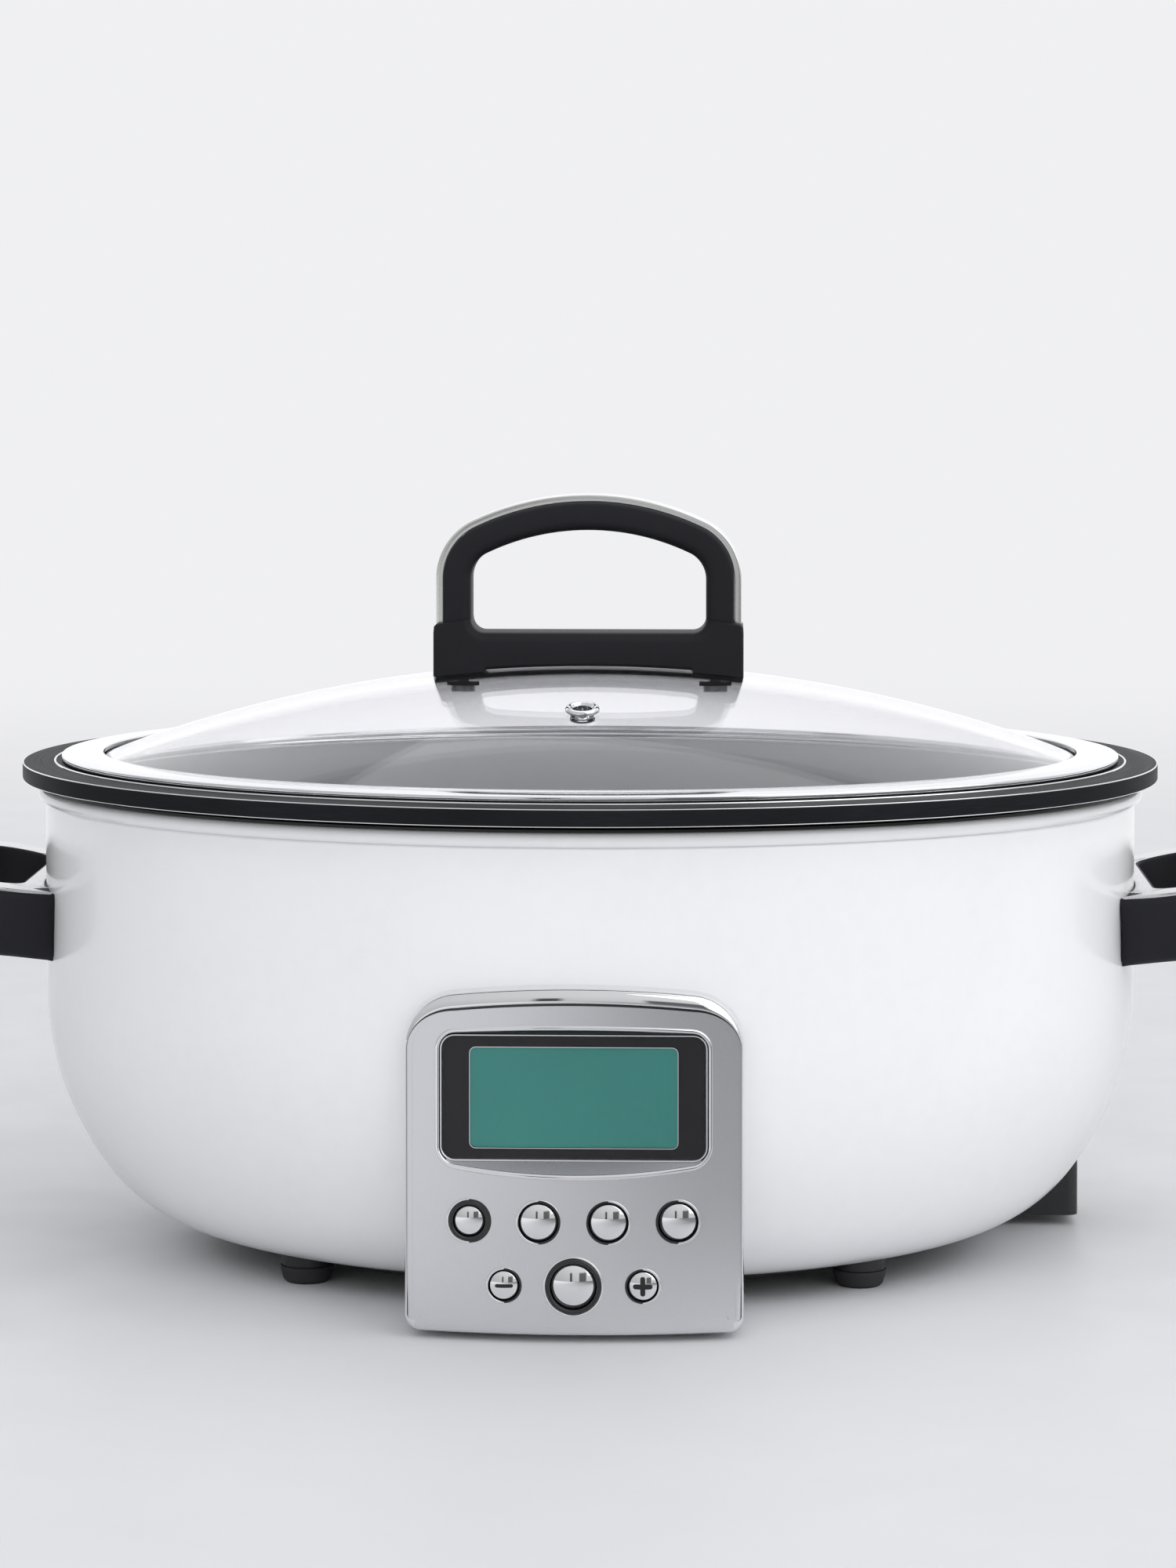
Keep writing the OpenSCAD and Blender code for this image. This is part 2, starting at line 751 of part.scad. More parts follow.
module lid_handle() {
    color("#1c1c1e") difference() {
        union() {
            upright(-arch_depth / 2, arch_depth / 2) difference() {
                arch_region(arch_bar / 2, crossbar_z + 4);
                arch_opening();
            }
            upright(-lug_depth / 2, lug_depth / 2) difference() {
                union() {
                    difference() {
                        translate([0, (crossbar_z + crossbar_top) / 2]) {
                            round_rect(lug_w - 4, crossbar_top - crossbar_z, 2);
                        }
                        translate([0, crossbar_z + bow_h - bow_r]) circle(bow_r, $fn = 240);
                    }
                    both_ends(lug_w / 2 - lug_l / 2) translate([0, (dome_top + lug_top - lug_sink) / 2]) {
                        round_rect(lug_l, lug_top - dome_top + lug_sink, 2);
                    }
                }
                arch_opening();
            }
        }
        oval_turn(glass_a) dome_section(-seat, dome_h + lug_sink);
        both_ends(lid_screw_x) cylinder(h = crossbar_z + lid_screw_grip + 1, r = lid_screw_r + seat);
    }
}

module lid_handle_strip() {
    y = arch_depth / 2 - 3.5;
    color("silver") difference() {
        upright(-y, y) arch_region(arch_bar / 2 + strip_t, lug_top + seat);
        upright(-y - 1, y + 1) arch_region(arch_bar / 2 + seat / 2, lug_top - 5);
    }
}

module lid_screws() {
    color("silver") both_ends(lid_screw_x) {
        translate([0, 0, washer_z - lid_head_t - seat]) cylinder(h = lid_head_t, r = lid_head_r, $fn = 32);
        translate([0, 0, washer_z - 1]) {
            cylinder(h = crossbar_z - washer_z + lid_screw_grip, r = lid_screw_r, $fn = 48);
        }
    }
}

module lid_washers() {
    color("black") both_ends(lid_screw_x) translate([0, 0, washer_z]) difference() {
        cylinder(h = washer_t, r = washer_r, $fn = 32);
        translate([0, 0, -1]) cylinder(h = 4, r = lid_screw_r + seat, $fn = 48);
    }
}

// ---------- side handles ----------

// Filled plan of the right handle's loop, grown by o from the bar's middle. The wall is at x = 0.
module loop_region(o) {
    out = [-sin(arm_splay), -cos(arm_splay)];
    root = [-20, -arm_y + 20 * tan(arm_splay)];
    for (m = [0, 1]) mirror([0, m]) {
        translate(grip_c) circle(grip_corner_r + o);
        polygon([root + o * out, arm_end + o * out, grip_c, [grip_c[0], 0], [root[0], 0]]);
    }
    translate(grip_c) square([grip_corner_r + o, -2 * grip_c[1]]);
}

// Plan of the loop with its foot along the wall, drawn in by inset.
module loop_plan(inset) {
    foot_a = body_a + grip_foot_t - inset;
    difference() {
        loop_region(grip_w / 2 - inset);
        difference() {
            loop_region(inset - grip_w / 2);
            translate([-body_a, 0]) scale([1, (foot_a - oval_gap) / foot_a]) circle(foot_a);
        }
    }
}

// Puts the right handle's loop against the wall.
module at_wall() {
    translate([body_a, 0, grip_z]) rotate([0, -grip_tilt, 0]) children();
}

module side_handle() {
    color("#1c1c1e") difference() {
        at_wall() linear_extrude(grip_h - trim_t) loop_plan(0);
        oval_disc(body_a + seat, 0, rim_z);
        for (y = [-1, 1]) translate([body_a - 10, y * handle_screw_y, handle_screw_z]) {
            rotate([0, 90, 0]) cylinder(h = 28, r = handle_screw_r + seat, center = true);
        }
    }
}

module side_handle_right() {
    side_handle();
}

module side_handle_left() {
    mirror([1, 0, 0]) side_handle();
}

module handle_trim() {
    color("silver") difference() {
        at_wall() translate([0, 0, grip_h - trim_t + seat]) {
            linear_extrude(trim_t - seat) loop_plan(trim_inset);
        }
        oval_disc(body_a + seat, 0, rim_z);
    }
}

module handle_trim_right() {
    handle_trim();
}

module handle_trim_left() {
    mirror([1, 0, 0]) handle_trim();
}

module handle_screws() {
    x = body_a * sqrt(1 - pow(handle_screw_y / (body_a - oval_gap), 2));
    color("silver") for (s = [-1, 1], y = [-1, 1]) mirror([s < 0 ? 1 : 0, 0, 0]) {
        translate([x - body_t - screw_back, y * handle_screw_y, handle_screw_z]) rotate([0, 90, 0]) {
            cylinder(h = screw_head_t, r = screw_head_r, $fn = 32);
            cylinder(h = screw_back + body_t + 8, r = handle_screw_r, $fn = 32);
        }
    }
}

// ---------- control panel ----------

// Outline of the panel, drawn in by inset.
module panel_outline(inset) {
    tangent_x = panel_arch_r / (panel_arch_r - panel_corner_r) * corner_cx;
    side_x = panel_w / 2 - inset - tuck;
    bottom_cz = panel_z + bottom_corner_r;
    intersection() {
        translate([0, arch_cz]) circle(panel_arch_r - inset - tuck, $fn = 360);
        union() {
            both_ends(corner_cx) translate([0, corner_cz]) circle(panel_corner_r - inset);
            translate([-tangent_x, corner_cz - panel_corner_r / 2]) square([2 * tangent_x, panel_top]);
            translate([-side_x, bottom_cz]) square([2 * side_x, corner_cz - bottom_cz]);
            both_ends(panel_w / 2 - bottom_corner_r) translate([0, bottom_cz]) {
                circle(bottom_corner_r - inset, $fn = 32);
            }
            translate([bottom_corner_r - panel_w / 2, panel_z + inset + tuck]) {
                square([panel_w - 2 * bottom_corner_r, panel_w / 2]);
            }
        }
    }
}

// Upright roller whose front lies on the panel's convex face, behind it by drop.
module panel_roller(drop) {
    translate([0, -panel_c, panel_z - 10]) cylinder(h = panel_top + 20, r = panel_r - drop, $fn = 360);
}

module panel_surround() {
    color("gainsboro") difference() {
        intersection() {
            upright(-panel_reach - 1, -body_a / 2) panel_outline(0);
            panel_roller(0);
        }
        body_solid(-seat, rim_z);
        tray_room();
        upright(-panel_reach - 5, 0) panel_outline(lip_w);
    }
}

// Opening for the display in the XZ plane, drawn in by inset. Its upper and lower edges bow outward.
module display_outline(inset) {
    half = display_w / 2 + frame_w;
    top = display_z + display_h / 2 + sill_top;
    foot = display_z - display_h / 2 - sill_foot;
    top_r = (pow(half, 2) + pow(bow_top, 2)) / (2 * bow_top);
    foot_r = (pow(half, 2) + pow(bow_foot, 2)) / (2 * bow_foot);
    intersection() {
        translate([0, (top + foot) / 2]) {
            round_rect(2 * (half - inset), top - foot + 1, opening_corner_r - inset);
        }
        translate([0, top - top_r]) circle(top_r - inset, $fn = 360);
        translate([0, foot + foot_r]) circle(foot_r - inset, $fn = 360);
    }
}

// The display's window in the XZ plane, drawn in by inset.
module window_outline(inset) {
    translate([0, display_z]) round_rect(display_w - 2 * inset, display_h - 2 * inset, window_r - inset);
}

module panel_face() {
    color("silver") difference() {
        intersection() {
            upright(-panel_reach, -panel_reach + 30) panel_outline(lip_w + seat);
            panel_roller(face_drop);
        }
        panel_roller(face_drop + face_t);
        upright(-panel_reach - 5, 0) display_outline(0);
        for (b = BUTTONS) translate([b[0], 0, b[1]]) bar_y(b[2] / 2, -panel_reach - 5, -panel_reach + 30);
    }
}

module display_bezel() {
    color("gainsboro") difference() {
        upright(window_y, window_y + bezel_t) display_outline(seat);
        upright(window_y - 1, window_y + 10) window_outline(0);
    }
}

module display_lens() {
    y = window_y + 0.3;
    color([0.2, 0.2, 0.22, 0.4]) upright(y, y + lens_t) window_outline(seat);
}

module display_mask() {
    y = window_y + 0.3 + lens_t + seat / 2;
    color("#18181c") difference() {
        upright(y, y + mask_t) window_outline(seat);
        upright(y - 1, y + 5) translate([0, display_z]) round_rect(lcd_w, lcd_h, 2);
    }
}

module display_lcd() {
    y = window_y + 0.3 + lens_t + seat;
    color("#42806f") {
        upright(y, y + mask_t + 1) translate([0, display_z]) {
            round_rect(lcd_w - 2 * seat, lcd_h - 2 * seat, 2);
        }
        upright(y + mask_t + seat, board_y - seat) translate([0, display_z]) {
            square([lcd_w + 2 * lcd_back_x, lcd_h + 2 * lcd_back_z], center = true);
        }
    }
}

// Height of the face plate's front at x, as a place along Y.
function face_y(x) = -(panel_c + sqrt(pow(face_curve, 2) - x * x));

module button_rings() {
    color("#202024") intersection() {
        for (b = BUTTONS) translate([b[0], 0, b[1]]) difference() {
            bar_y(b[2] / 2 - seat, -panel_reach - 1, face_y(b[0]) + face_t + 1.2);
            bar_y(b[3] / 2 + button_gap, -panel_reach - 5, 0);
        }
        panel_roller(face_drop - 0.3);
    }
}

module circuit_board() {
    color("darkgreen") difference() {
        translate([-board_w / 2, board_y, board_z]) cube([board_w, board_t, board_top - board_z]);
        both_ends(board_screw_x) for (z = [board_z + board_screw_in, board_top - board_screw_in]) {
            translate([0, 0, z]) bar_y(board_screw_r + seat, board_y - 1, board_y + 5);
        }
    }
}

module tact_switches() {
    color("dimgray") for (b = BUTTONS) translate([b[0], 0, b[1]]) {
        translate([-3, board_y - 3 - seat, -3]) cube([6, 3, 6]);
    }
}

module board_cover() {
    back = board_y + board_t + seat;
    h = board_top - board_z - cover_lift;
    color("black") translate([-board_w / 2, back, board_z + cover_lift]) difference() {
        cube([board_w, cover_d, h]);
        translate([cover_wall, -1, cover_rim]) cube([board_w - 2 * cover_wall, cover_d, h - 2 * cover_rim]);
    }
}

module board_screws() {
    color("silver") both_ends(board_screw_x) {
        for (z = [board_z + board_screw_in, board_top - board_screw_in]) translate([0, 0, z]) {
            bar_y(board_head_r, board_y - seat - 1.5, board_y - seat);
            bar_y(board_screw_r, board_y - 1, board_y + board_t);
        }
    }
}

// One button: a domed cap, a collar behind the face plate and a plunger.
module button(b) {
    front = face_y(b[0]) - cap_rise;
    r = b[3] / 2;
    dome = r * 2.2;
    back = board_y - 3 - seat - button_travel - slack;
    color("gainsboro") translate([b[0], 0, b[1]]) {
        intersection() {
            bar_y(r, front - 1, face_y(b[0]) + face_t + 1.2);
            translate([0, front + dome, 0]) sphere(dome, $fn = 96);
        }
        bar_y(1.6, front + 2, back);
    }
}

module sear_button() {
    button(BUTTONS[0]);
}

module menu_button() {
    button(BUTTONS[1]);
}

module time_button() {
    button(BUTTONS[2]);
}

module heat_button() {
    button(BUTTONS[3]);
}

module minus_button() {
    button(BUTTONS[4]);
}

module start_button() {
    button(BUTTONS[5]);
}

module plus_button() {
    button(BUTTONS[6]);
}

// ---------- cord inlet ----------

// Plan of the inlet box, drawn in by inset. Its corners are round on the outer side only.
module inlet_plan(inset) {
    w = inlet_w - 2 * inset;
    d = inlet_d - 2 * inset;
    translate([w / 4, 0]) round_rect(w / 2, d, 4 - inset);
    translate([-w / 2, -d / 2]) square([w * 0.8, d]);
}

module inlet_housing() {
    color("#1c1c1e") difference() {
        translate([gland_x, inlet_y + inlet_d / 2, inlet_z]) linear_extrude(inlet_h) inlet_plan(0);
        body_solid(-seat, rim_z);
        tray_room();
        translate([gland_x, inlet_y + inlet_d / 2, inlet_z + inlet_t]) {
            linear_extrude(inlet_h) inlet_plan(inlet_t);
        }
        translate([gland_x, 0, gland_z]) {
            bar_y(gland_r + seat, inlet_y + inlet_d - 10, inlet_y + inlet_d + 10);
        }
    }
}

module cord_gland() {
    y = inlet_y + inlet_d;
    color("black") translate([gland_x, 0, gland_z]) difference() {
        union() {
            bar_y(gland_r, y - gland_l + 2, y + 2);
            bar_y(gland_r + 1.5, y + seat, y + 2);
        }
        bar_y(gland_bore_r, y - gland_l, y + 5);
    }
}

housing();
base_tray();
feet();
base_screws();
inner_liner();
heat_shield();
shield_spacers();
heating_plate();
heating_element();
plate_studs();
sensor_guide();
power_board();
panel_surround();
panel_face();
display_bezel();
display_lens();
display_mask();
display_lcd();
button_rings();
circuit_board();
tact_switches();
board_cover();
board_screws();
side_handle_left();
side_handle_right();
handle_trim_left();
handle_trim_right();
handle_screws();
inlet_housing();
cord_gland();
temperature_sensor();
sensor_spring();
pot();
lid_glass();
lid_ring();
vent_eyelet();
lid_handle();
lid_handle_strip();
lid_screws();
lid_washers();
sear_button();
menu_button();
time_button();
heat_button();
minus_button();
start_button();
plus_button();
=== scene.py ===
"""Looks of an oval programmable slow cooker: enamelled body, black pot, glass lid and control panel.

Lengths are in millimetres until a mesh is made, and every piece lies in the CAD's own frame.
"""

import json
import logging
import math
from collections.abc import Callable
from dataclasses import dataclass, field
from enum import Enum

import bmesh
import bpy
import numpy as np
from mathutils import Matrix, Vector

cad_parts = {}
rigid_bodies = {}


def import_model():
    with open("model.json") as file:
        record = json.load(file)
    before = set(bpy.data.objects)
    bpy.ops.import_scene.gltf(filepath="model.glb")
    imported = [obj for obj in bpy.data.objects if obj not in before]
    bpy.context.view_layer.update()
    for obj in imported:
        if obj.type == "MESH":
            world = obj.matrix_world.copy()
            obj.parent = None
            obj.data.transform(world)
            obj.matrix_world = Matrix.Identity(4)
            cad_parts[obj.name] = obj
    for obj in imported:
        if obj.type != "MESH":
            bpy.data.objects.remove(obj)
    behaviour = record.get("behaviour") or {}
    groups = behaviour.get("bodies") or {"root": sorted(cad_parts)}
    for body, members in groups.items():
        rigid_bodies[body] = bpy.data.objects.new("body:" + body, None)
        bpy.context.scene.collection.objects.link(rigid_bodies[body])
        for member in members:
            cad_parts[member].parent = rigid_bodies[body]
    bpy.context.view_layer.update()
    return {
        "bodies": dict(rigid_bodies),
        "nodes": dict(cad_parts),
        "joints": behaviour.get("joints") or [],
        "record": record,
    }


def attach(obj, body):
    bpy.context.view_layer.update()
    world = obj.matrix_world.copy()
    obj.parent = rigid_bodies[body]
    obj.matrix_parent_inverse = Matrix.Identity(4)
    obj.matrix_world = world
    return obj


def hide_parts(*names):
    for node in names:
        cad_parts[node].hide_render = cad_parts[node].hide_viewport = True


LOG = logging.getLogger("cooker")
MM = 0.001
MERGE = 2e-6  # in metres: corners nearer than this are one
OVAL_TURNS = 288
CLOUD = 60  # in millimetres: how far apart a finish's lighter and darker areas lie

# The body, and how much shorter every oval is across than along, from its middle.
OVAL_GAP = 47.5
BODY_A = 201.5
BODY_SQUEEZE = 1 - OVAL_GAP / BODY_A
BODY_Z = 9.0
RIM_Z = 171.2
BEAD_R = 2.6
SHEET_T = 1.2
SHOULDER_R = 110.0
SHOULDER_TURN = math.radians(37)
HEEL_R = 57.3
HEEL = (BODY_A - SHOULDER_R + (SHOULDER_R - HEEL_R) * math.cos(SHOULDER_TURN), BODY_Z + HEEL_R)
SHOULDER = (BODY_A - SHOULDER_R, HEEL[1] + (SHOULDER_R - HEEL_R) * math.sin(SHOULDER_TURN))
BOTTOM_HOLE = HEEL[0] - 25
FOOT = (98.5, 70.0)
FOOT_TOP = 6.0

# The pot.
RIM_A = 210.0
POT_RIM_Z = 173.8
POT_TOP = 180.1
POT_Z = 56.3
MOUTH_A = 183.5
POT_T = 3.0
POT_CORNER = 35.0
DRAFT = math.radians(4)

# The lid, its vent and its handle.
RING_A = 195.7
RING_W = 15.5
LID_Z = 180.4
RING_TOP = 182.4
GLASS_A = 181.4
GLASS_SQUEEZE = 1 - OVAL_GAP / GLASS_A
DOME_TOP = 214.3
DOME_LIFT = 3.1
GLASS_EDGE = 181.0
DOME_R = (GLASS_A**2 + (DOME_TOP - GLASS_EDGE) ** 2) / (2 * (DOME_TOP - GLASS_EDGE))
VENT_Y = 73.0
VENT_D = 11.7
ARCH_BAR = 10.4
LEG_X = 48.6
CROWN_R = 92.0
CROWN_Z = 178.2
ARCH_CORNER_R = 16.0
ARCH_CORNER = (32.6, 246.9)
CROSSBAR_Z = 214.6
CROSSBAR_TOP = 227.2
LUG_TOP = 230.4
LUG_W = 114.6
LUG_L = 19.0
OPENING_R = 5.0
STRIP_T = 2.8

# The side handles.
GRIP_W = 14.0
GRIP_H = 24.0
GRIP_Z = 112.0
ARM_Y = 40.5
ARM_L = 12.0
ARM_SPLAY = math.radians(30)
GRIP_CORNER_R = 24.0
GRIP_TILT = math.radians(10)
TRIM_T = 1.2

# The control panel.
PANEL_W = 114.6
PANEL_TOP = 120.0
PANEL_REACH = 162.4
PANEL_R = 240.0
PANEL_ARCH_R = 340.0
PANEL_CORNER_R = 19.0
FACE_DROP = 0.8
DISPLAY_Z = 82.2
WINDOW_Y = -157.13


def rounded(corners: list, radii: list, steps: int = 6) -> np.ndarray:
    """Rounds the corners of a closed flat outline.

    Args:
        corners: The corners, as (u, v) in order.
        radii: The radius of each corner.
        steps: The number of chords in each rounding.

    Returns:
        The outline's points, steps + 1 for each corner.
    """
    points = np.asarray(corners, float)
    out = []
    for i, radius in enumerate(radii):
        here = points[i]
        before = points[i - 1] - here
        after = points[(i + 1) % len(points)] - here
        before /= np.linalg.norm(before)
        after /= np.linalg.norm(after)
        half = math.acos(float(np.clip(before @ after, -1, 1))) / 2
        reach = radius / math.tan(half)
        middle = here + (before + after) / np.linalg.norm(before + after) * radius / math.sin(half)
        first = here + before * reach - middle
        last = here + after * reach - middle
        start = math.atan2(first[1], first[0])
        turn = (math.atan2(last[1], last[0]) - start + math.pi) % (2 * math.pi) - math.pi
        for k in range(steps + 1):
            angle = start + turn * k / steps
            out.append(middle + radius * np.array([math.cos(angle), math.sin(angle)]))
    return np.array(out)


def arc(centre: tuple, radius: float, start: float, end: float, steps: int) -> list:
    """Points along an arc.

    Args:
        centre: The arc's centre, as (u, v).
        radius: The arc's radius.
        start: The direction of its first point, in degrees.
        end: The direction of its last point, in degrees.
        steps: The number of chords.

    Returns:
        The points, as (u, v).
    """
    angles = np.radians(np.linspace(start, end, steps + 1))
    return [(centre[0] + radius * math.cos(a), centre[1] + radius * math.sin(a)) for a in angles]


def line(a: tuple, b: tuple, steps: int) -> list:
    """Points from a to b, both included.

    Args:
        a: The first point.
        b: The last point.
        steps: The number of steps.

    Returns:
        The points, as tuples.
    """
    t = np.linspace(0, 1, steps + 1)[:, None]
    return [tuple(p) for p in np.asarray(a, float) * (1 - t) + np.asarray(b, float) * t]


def merge(mesh: bpy.types.Mesh) -> None:
    """Merges a mesh's doubled corners and turns its faces outward.

    Args:
        mesh: The mesh.
    """
    work = bmesh.new()
    work.from_mesh(mesh)
    bmesh.ops.remove_doubles(work, verts=work.verts, dist=MERGE)
    bmesh.ops.recalc_face_normals(work, faces=work.faces)
    work.to_mesh(mesh)
    work.free()


def make_mesh(name: str, points: np.ndarray, faces: list, crease: float = 35.0) -> bpy.types.Object:
    """Makes a closed mesh object, merged, facing outward and smooth but for its sharp edges.

    Args:
        name: The object's name.
        points: The corners, in millimetres.
        faces: The faces, as tuples of corner numbers.
        crease: The angle above which an edge stays sharp, in degrees.

    Returns:
        The object, at the origin.
    """
    mesh = bpy.data.meshes.new(name)
    mesh.from_pydata((np.asarray(points) * MM).tolist(), [], faces)
    merge(mesh)
    return place_mesh(mesh, crease)


def merged_copy(node: bpy.types.Object, name: str) -> bpy.types.Mesh:
    """Copies a CAD node's mesh and merges its doubled corners.

    Args:
        node: The CAD node.
        name: The new mesh's name.

    Returns:
        The new mesh, without materials.
    """
    mesh = node.data.copy()
    mesh.name = name
    mesh.materials.clear()
    merge(mesh)
    return mesh


def place_mesh(mesh: bpy.types.Mesh, crease: float = 25.0) -> bpy.types.Object:
    """Puts a mesh in the scene, smooth but for its sharp edges.

    Args:
        mesh: The mesh, whose name the object takes.
        crease: The angle above which an edge stays sharp, in degrees.

    Returns:
        The object, at the origin.
    """
    mesh.polygons.foreach_set("use_smooth", [True] * len(mesh.polygons))
    mesh.set_sharp_from_angle(angle=math.radians(crease))
    piece = bpy.data.objects.new(mesh.name, mesh)
    bpy.context.scene.collection.objects.link(piece)
    return piece


def loft(name: str, loops: np.ndarray, ring: bool = True, crease: float = 35.0) -> bpy.types.Object:
    """Skins a row of closed loops that all have the same number of points.

    Args:
        name: The object's name.
        loops: The loops, as an array of (loops, points, 3).
        ring: Whether the last loop joins the first one. Otherwise both ends are filled.
        crease: The angle above which an edge stays sharp, in degrees.

    Returns:
        The object, at the origin.
    """
    loops = np.asarray(loops, float)
    rows, columns = loops.shape[:2]
    faces = []
    for i in range(rows if ring else rows - 1):
        for j in range(columns):
            a, b = i * columns, (i + 1) % rows * columns
            k = (j + 1) % columns
            faces.append((a + j, a + k, b + k, b + j))
    if not ring:
        faces.append(tuple(range(columns)))
        faces.append(tuple(range((rows - 1) * columns, rows * columns)))
    return make_mesh(name, loops.reshape(-1, 3), faces, crease)


def oval(name: str, section: list, half: float | list, crease: float = 35.0) -> bpy.types.Object:
    """Carries a half section round the oval: x = r cos(t), y = r (h - gap) / h sin(t).

    Args:
        name: The object's name.
        section: The closed half section, as (r, z).
        half: The half length h of the oval that each point is drawn with, or one for all points.
        crease: The angle above which an edge stays sharp, in degrees.

    Returns:
        The object.
    """
    part = np.asarray(section, float)
    squeeze = 1 - OVAL_GAP / np.asarray(half, float)
    t = np.linspace(0, 2 * math.pi, OVAL_TURNS, endpoint=False)[:, None]
    loops = np.stack([
        part[:, 0] * np.cos(t),
        part[:, 0] * squeeze * np.sin(t),
        np.broadcast_to(part[:, 1], (OVAL_TURNS, len(part))),
    ], axis=2)
    return loft(name, loops, crease=crease)


def turned(name: str, section: list, place: tuple, tilt: float, turns: int = 64) -> bpy.types.Object:
    """Turns a closed half section (r, h) about an axis that leans from +Z towards -Y.

    Args:
        name: The object's name.
        section: The closed half section, with r from the axis and h along it.
        place: Where the section's origin goes.
        tilt: The lean, in radians: 0 is upright, and a quarter turn points to -Y.
        turns: The number of steps round.

    Returns:
        The object.
    """
    part = np.asarray(section, float)
    t = np.linspace(0, 2 * math.pi, turns, endpoint=False)[:, None]
    x = part[:, 0] * np.cos(t)
    y = part[:, 0] * np.sin(t)
    h = np.broadcast_to(part[:, 1], x.shape)
    loops = np.stack([
        place[0] + x,
        place[1] + y * math.cos(tilt) - h * math.sin(tilt),
        place[2] + y * math.sin(tilt) + h * math.cos(tilt),
    ], axis=2)
    return loft(name, loops, crease=32)


def band(
    inner: np.ndarray, outer: np.ndarray, low: np.ndarray, high: np.ndarray, radii: tuple, steps: int = 6,
) -> np.ndarray:
    """Loops of a bar between two matched outlines, each a rectangle with round corners.

    Args:
        inner: The inner outline's points, as (u, v).
        outer: The outer outline's points, as (u, v).
        low: The bar's lower level w at each point.
        high: The bar's upper level w at each point.
        radii: The corner radii: inner low, outer low, outer high and inner high.
        steps: The number of chords in each rounding.

    Returns:
        The loops, with (u, v, w) for each point.
    """
    loops = []
    for p, q, w0, w1 in zip(inner, outer, low, high):
        p, q = np.asarray(p, float), np.asarray(q, float)
        length = float(np.linalg.norm(q - p))
        way = (q - p) / length
        top = min(length, w1 - w0) / 2 - 0.01
        corners = [(0, w0), (length, w0), (length, w1), (0, w1)]
        flat = rounded(corners, [min(r, top) for r in radii], steps)
        loops.append(np.column_stack([p + flat[:, :1] * way, flat[:, 1]]))
    return np.array(loops)


def to_linear(code: str) -> tuple:
    """Turns an sRGB colour such as #A0B0C0 into linear light.

    Args:
        code: The colour.

    Returns:
        The linear colour with an alpha of 1.
    """
    parts = [int(code[i:i + 2], 16) / 255 for i in (1, 3, 5)]
    return (*[p / 12.92 if p <= 0.04045 else ((p + 0.055) / 1.055) ** 2.4 for p in parts], 1.0)


def add_node(tree: bpy.types.NodeTree, kind: str, values: dict | None = None, **settings) -> bpy.types.Node:
    """Adds a node, and fills or links its inputs.

    Args:
        tree: The node tree.
        kind: The node's type.
        values: For each input, a number, a colour or the output that feeds it.
        **settings: The node's own settings.

    Returns:
        The node.
    """
    node = tree.nodes.new(kind)
    for key, value in settings.items():
        setattr(node, key, value)
    for key, value in (values or {}).items():
        if isinstance(value, bpy.types.NodeSocket):
            tree.links.new(value, node.inputs[key])
        else:
            node.inputs[key].default_value = value
    return node


def maths(tree: bpy.types.NodeTree, operation: str, *terms) -> bpy.types.NodeSocket:
    """Adds a math node.

    Args:
        tree: The node tree.
        operation: The node's operation.
        *terms: For each term, a number or the output that feeds it.

    Returns:
        The output that gives the result.
    """
    return add_node(tree, "ShaderNodeMath", dict(enumerate(terms)), operation=operation).outputs[0]


def remap(
    tree: bpy.types.NodeTree, value: bpy.types.NodeSocket, start: float, end: float,
    low: float = 0.0, high: float = 1.0, curve: str = "LINEAR",
) -> bpy.types.NodeSocket:
    """Adds a node that carries one range over to another, and holds its ends.

    Args:
        tree: The node tree.
        value: The output that gives the value.
        start: The value that becomes low.
        end: The value that becomes high.
        low: The result at the start.
        high: The result at the end.
        curve: The way from low to high.

    Returns:
        The output that gives the result.
    """
    values = {0: value, 1: start, 2: end, 3: low, 4: high}
    return add_node(tree, "ShaderNodeMapRange", values, interpolation_type=curve).outputs[0]


class Grain(Enum):
    """How a finish's pattern runs over a piece."""

    EVEN = "even"
    ROUND = "round the oval"
    ALONG_X = "along x"
    ALONG_Y = "along y"
    CELLS = "cells"


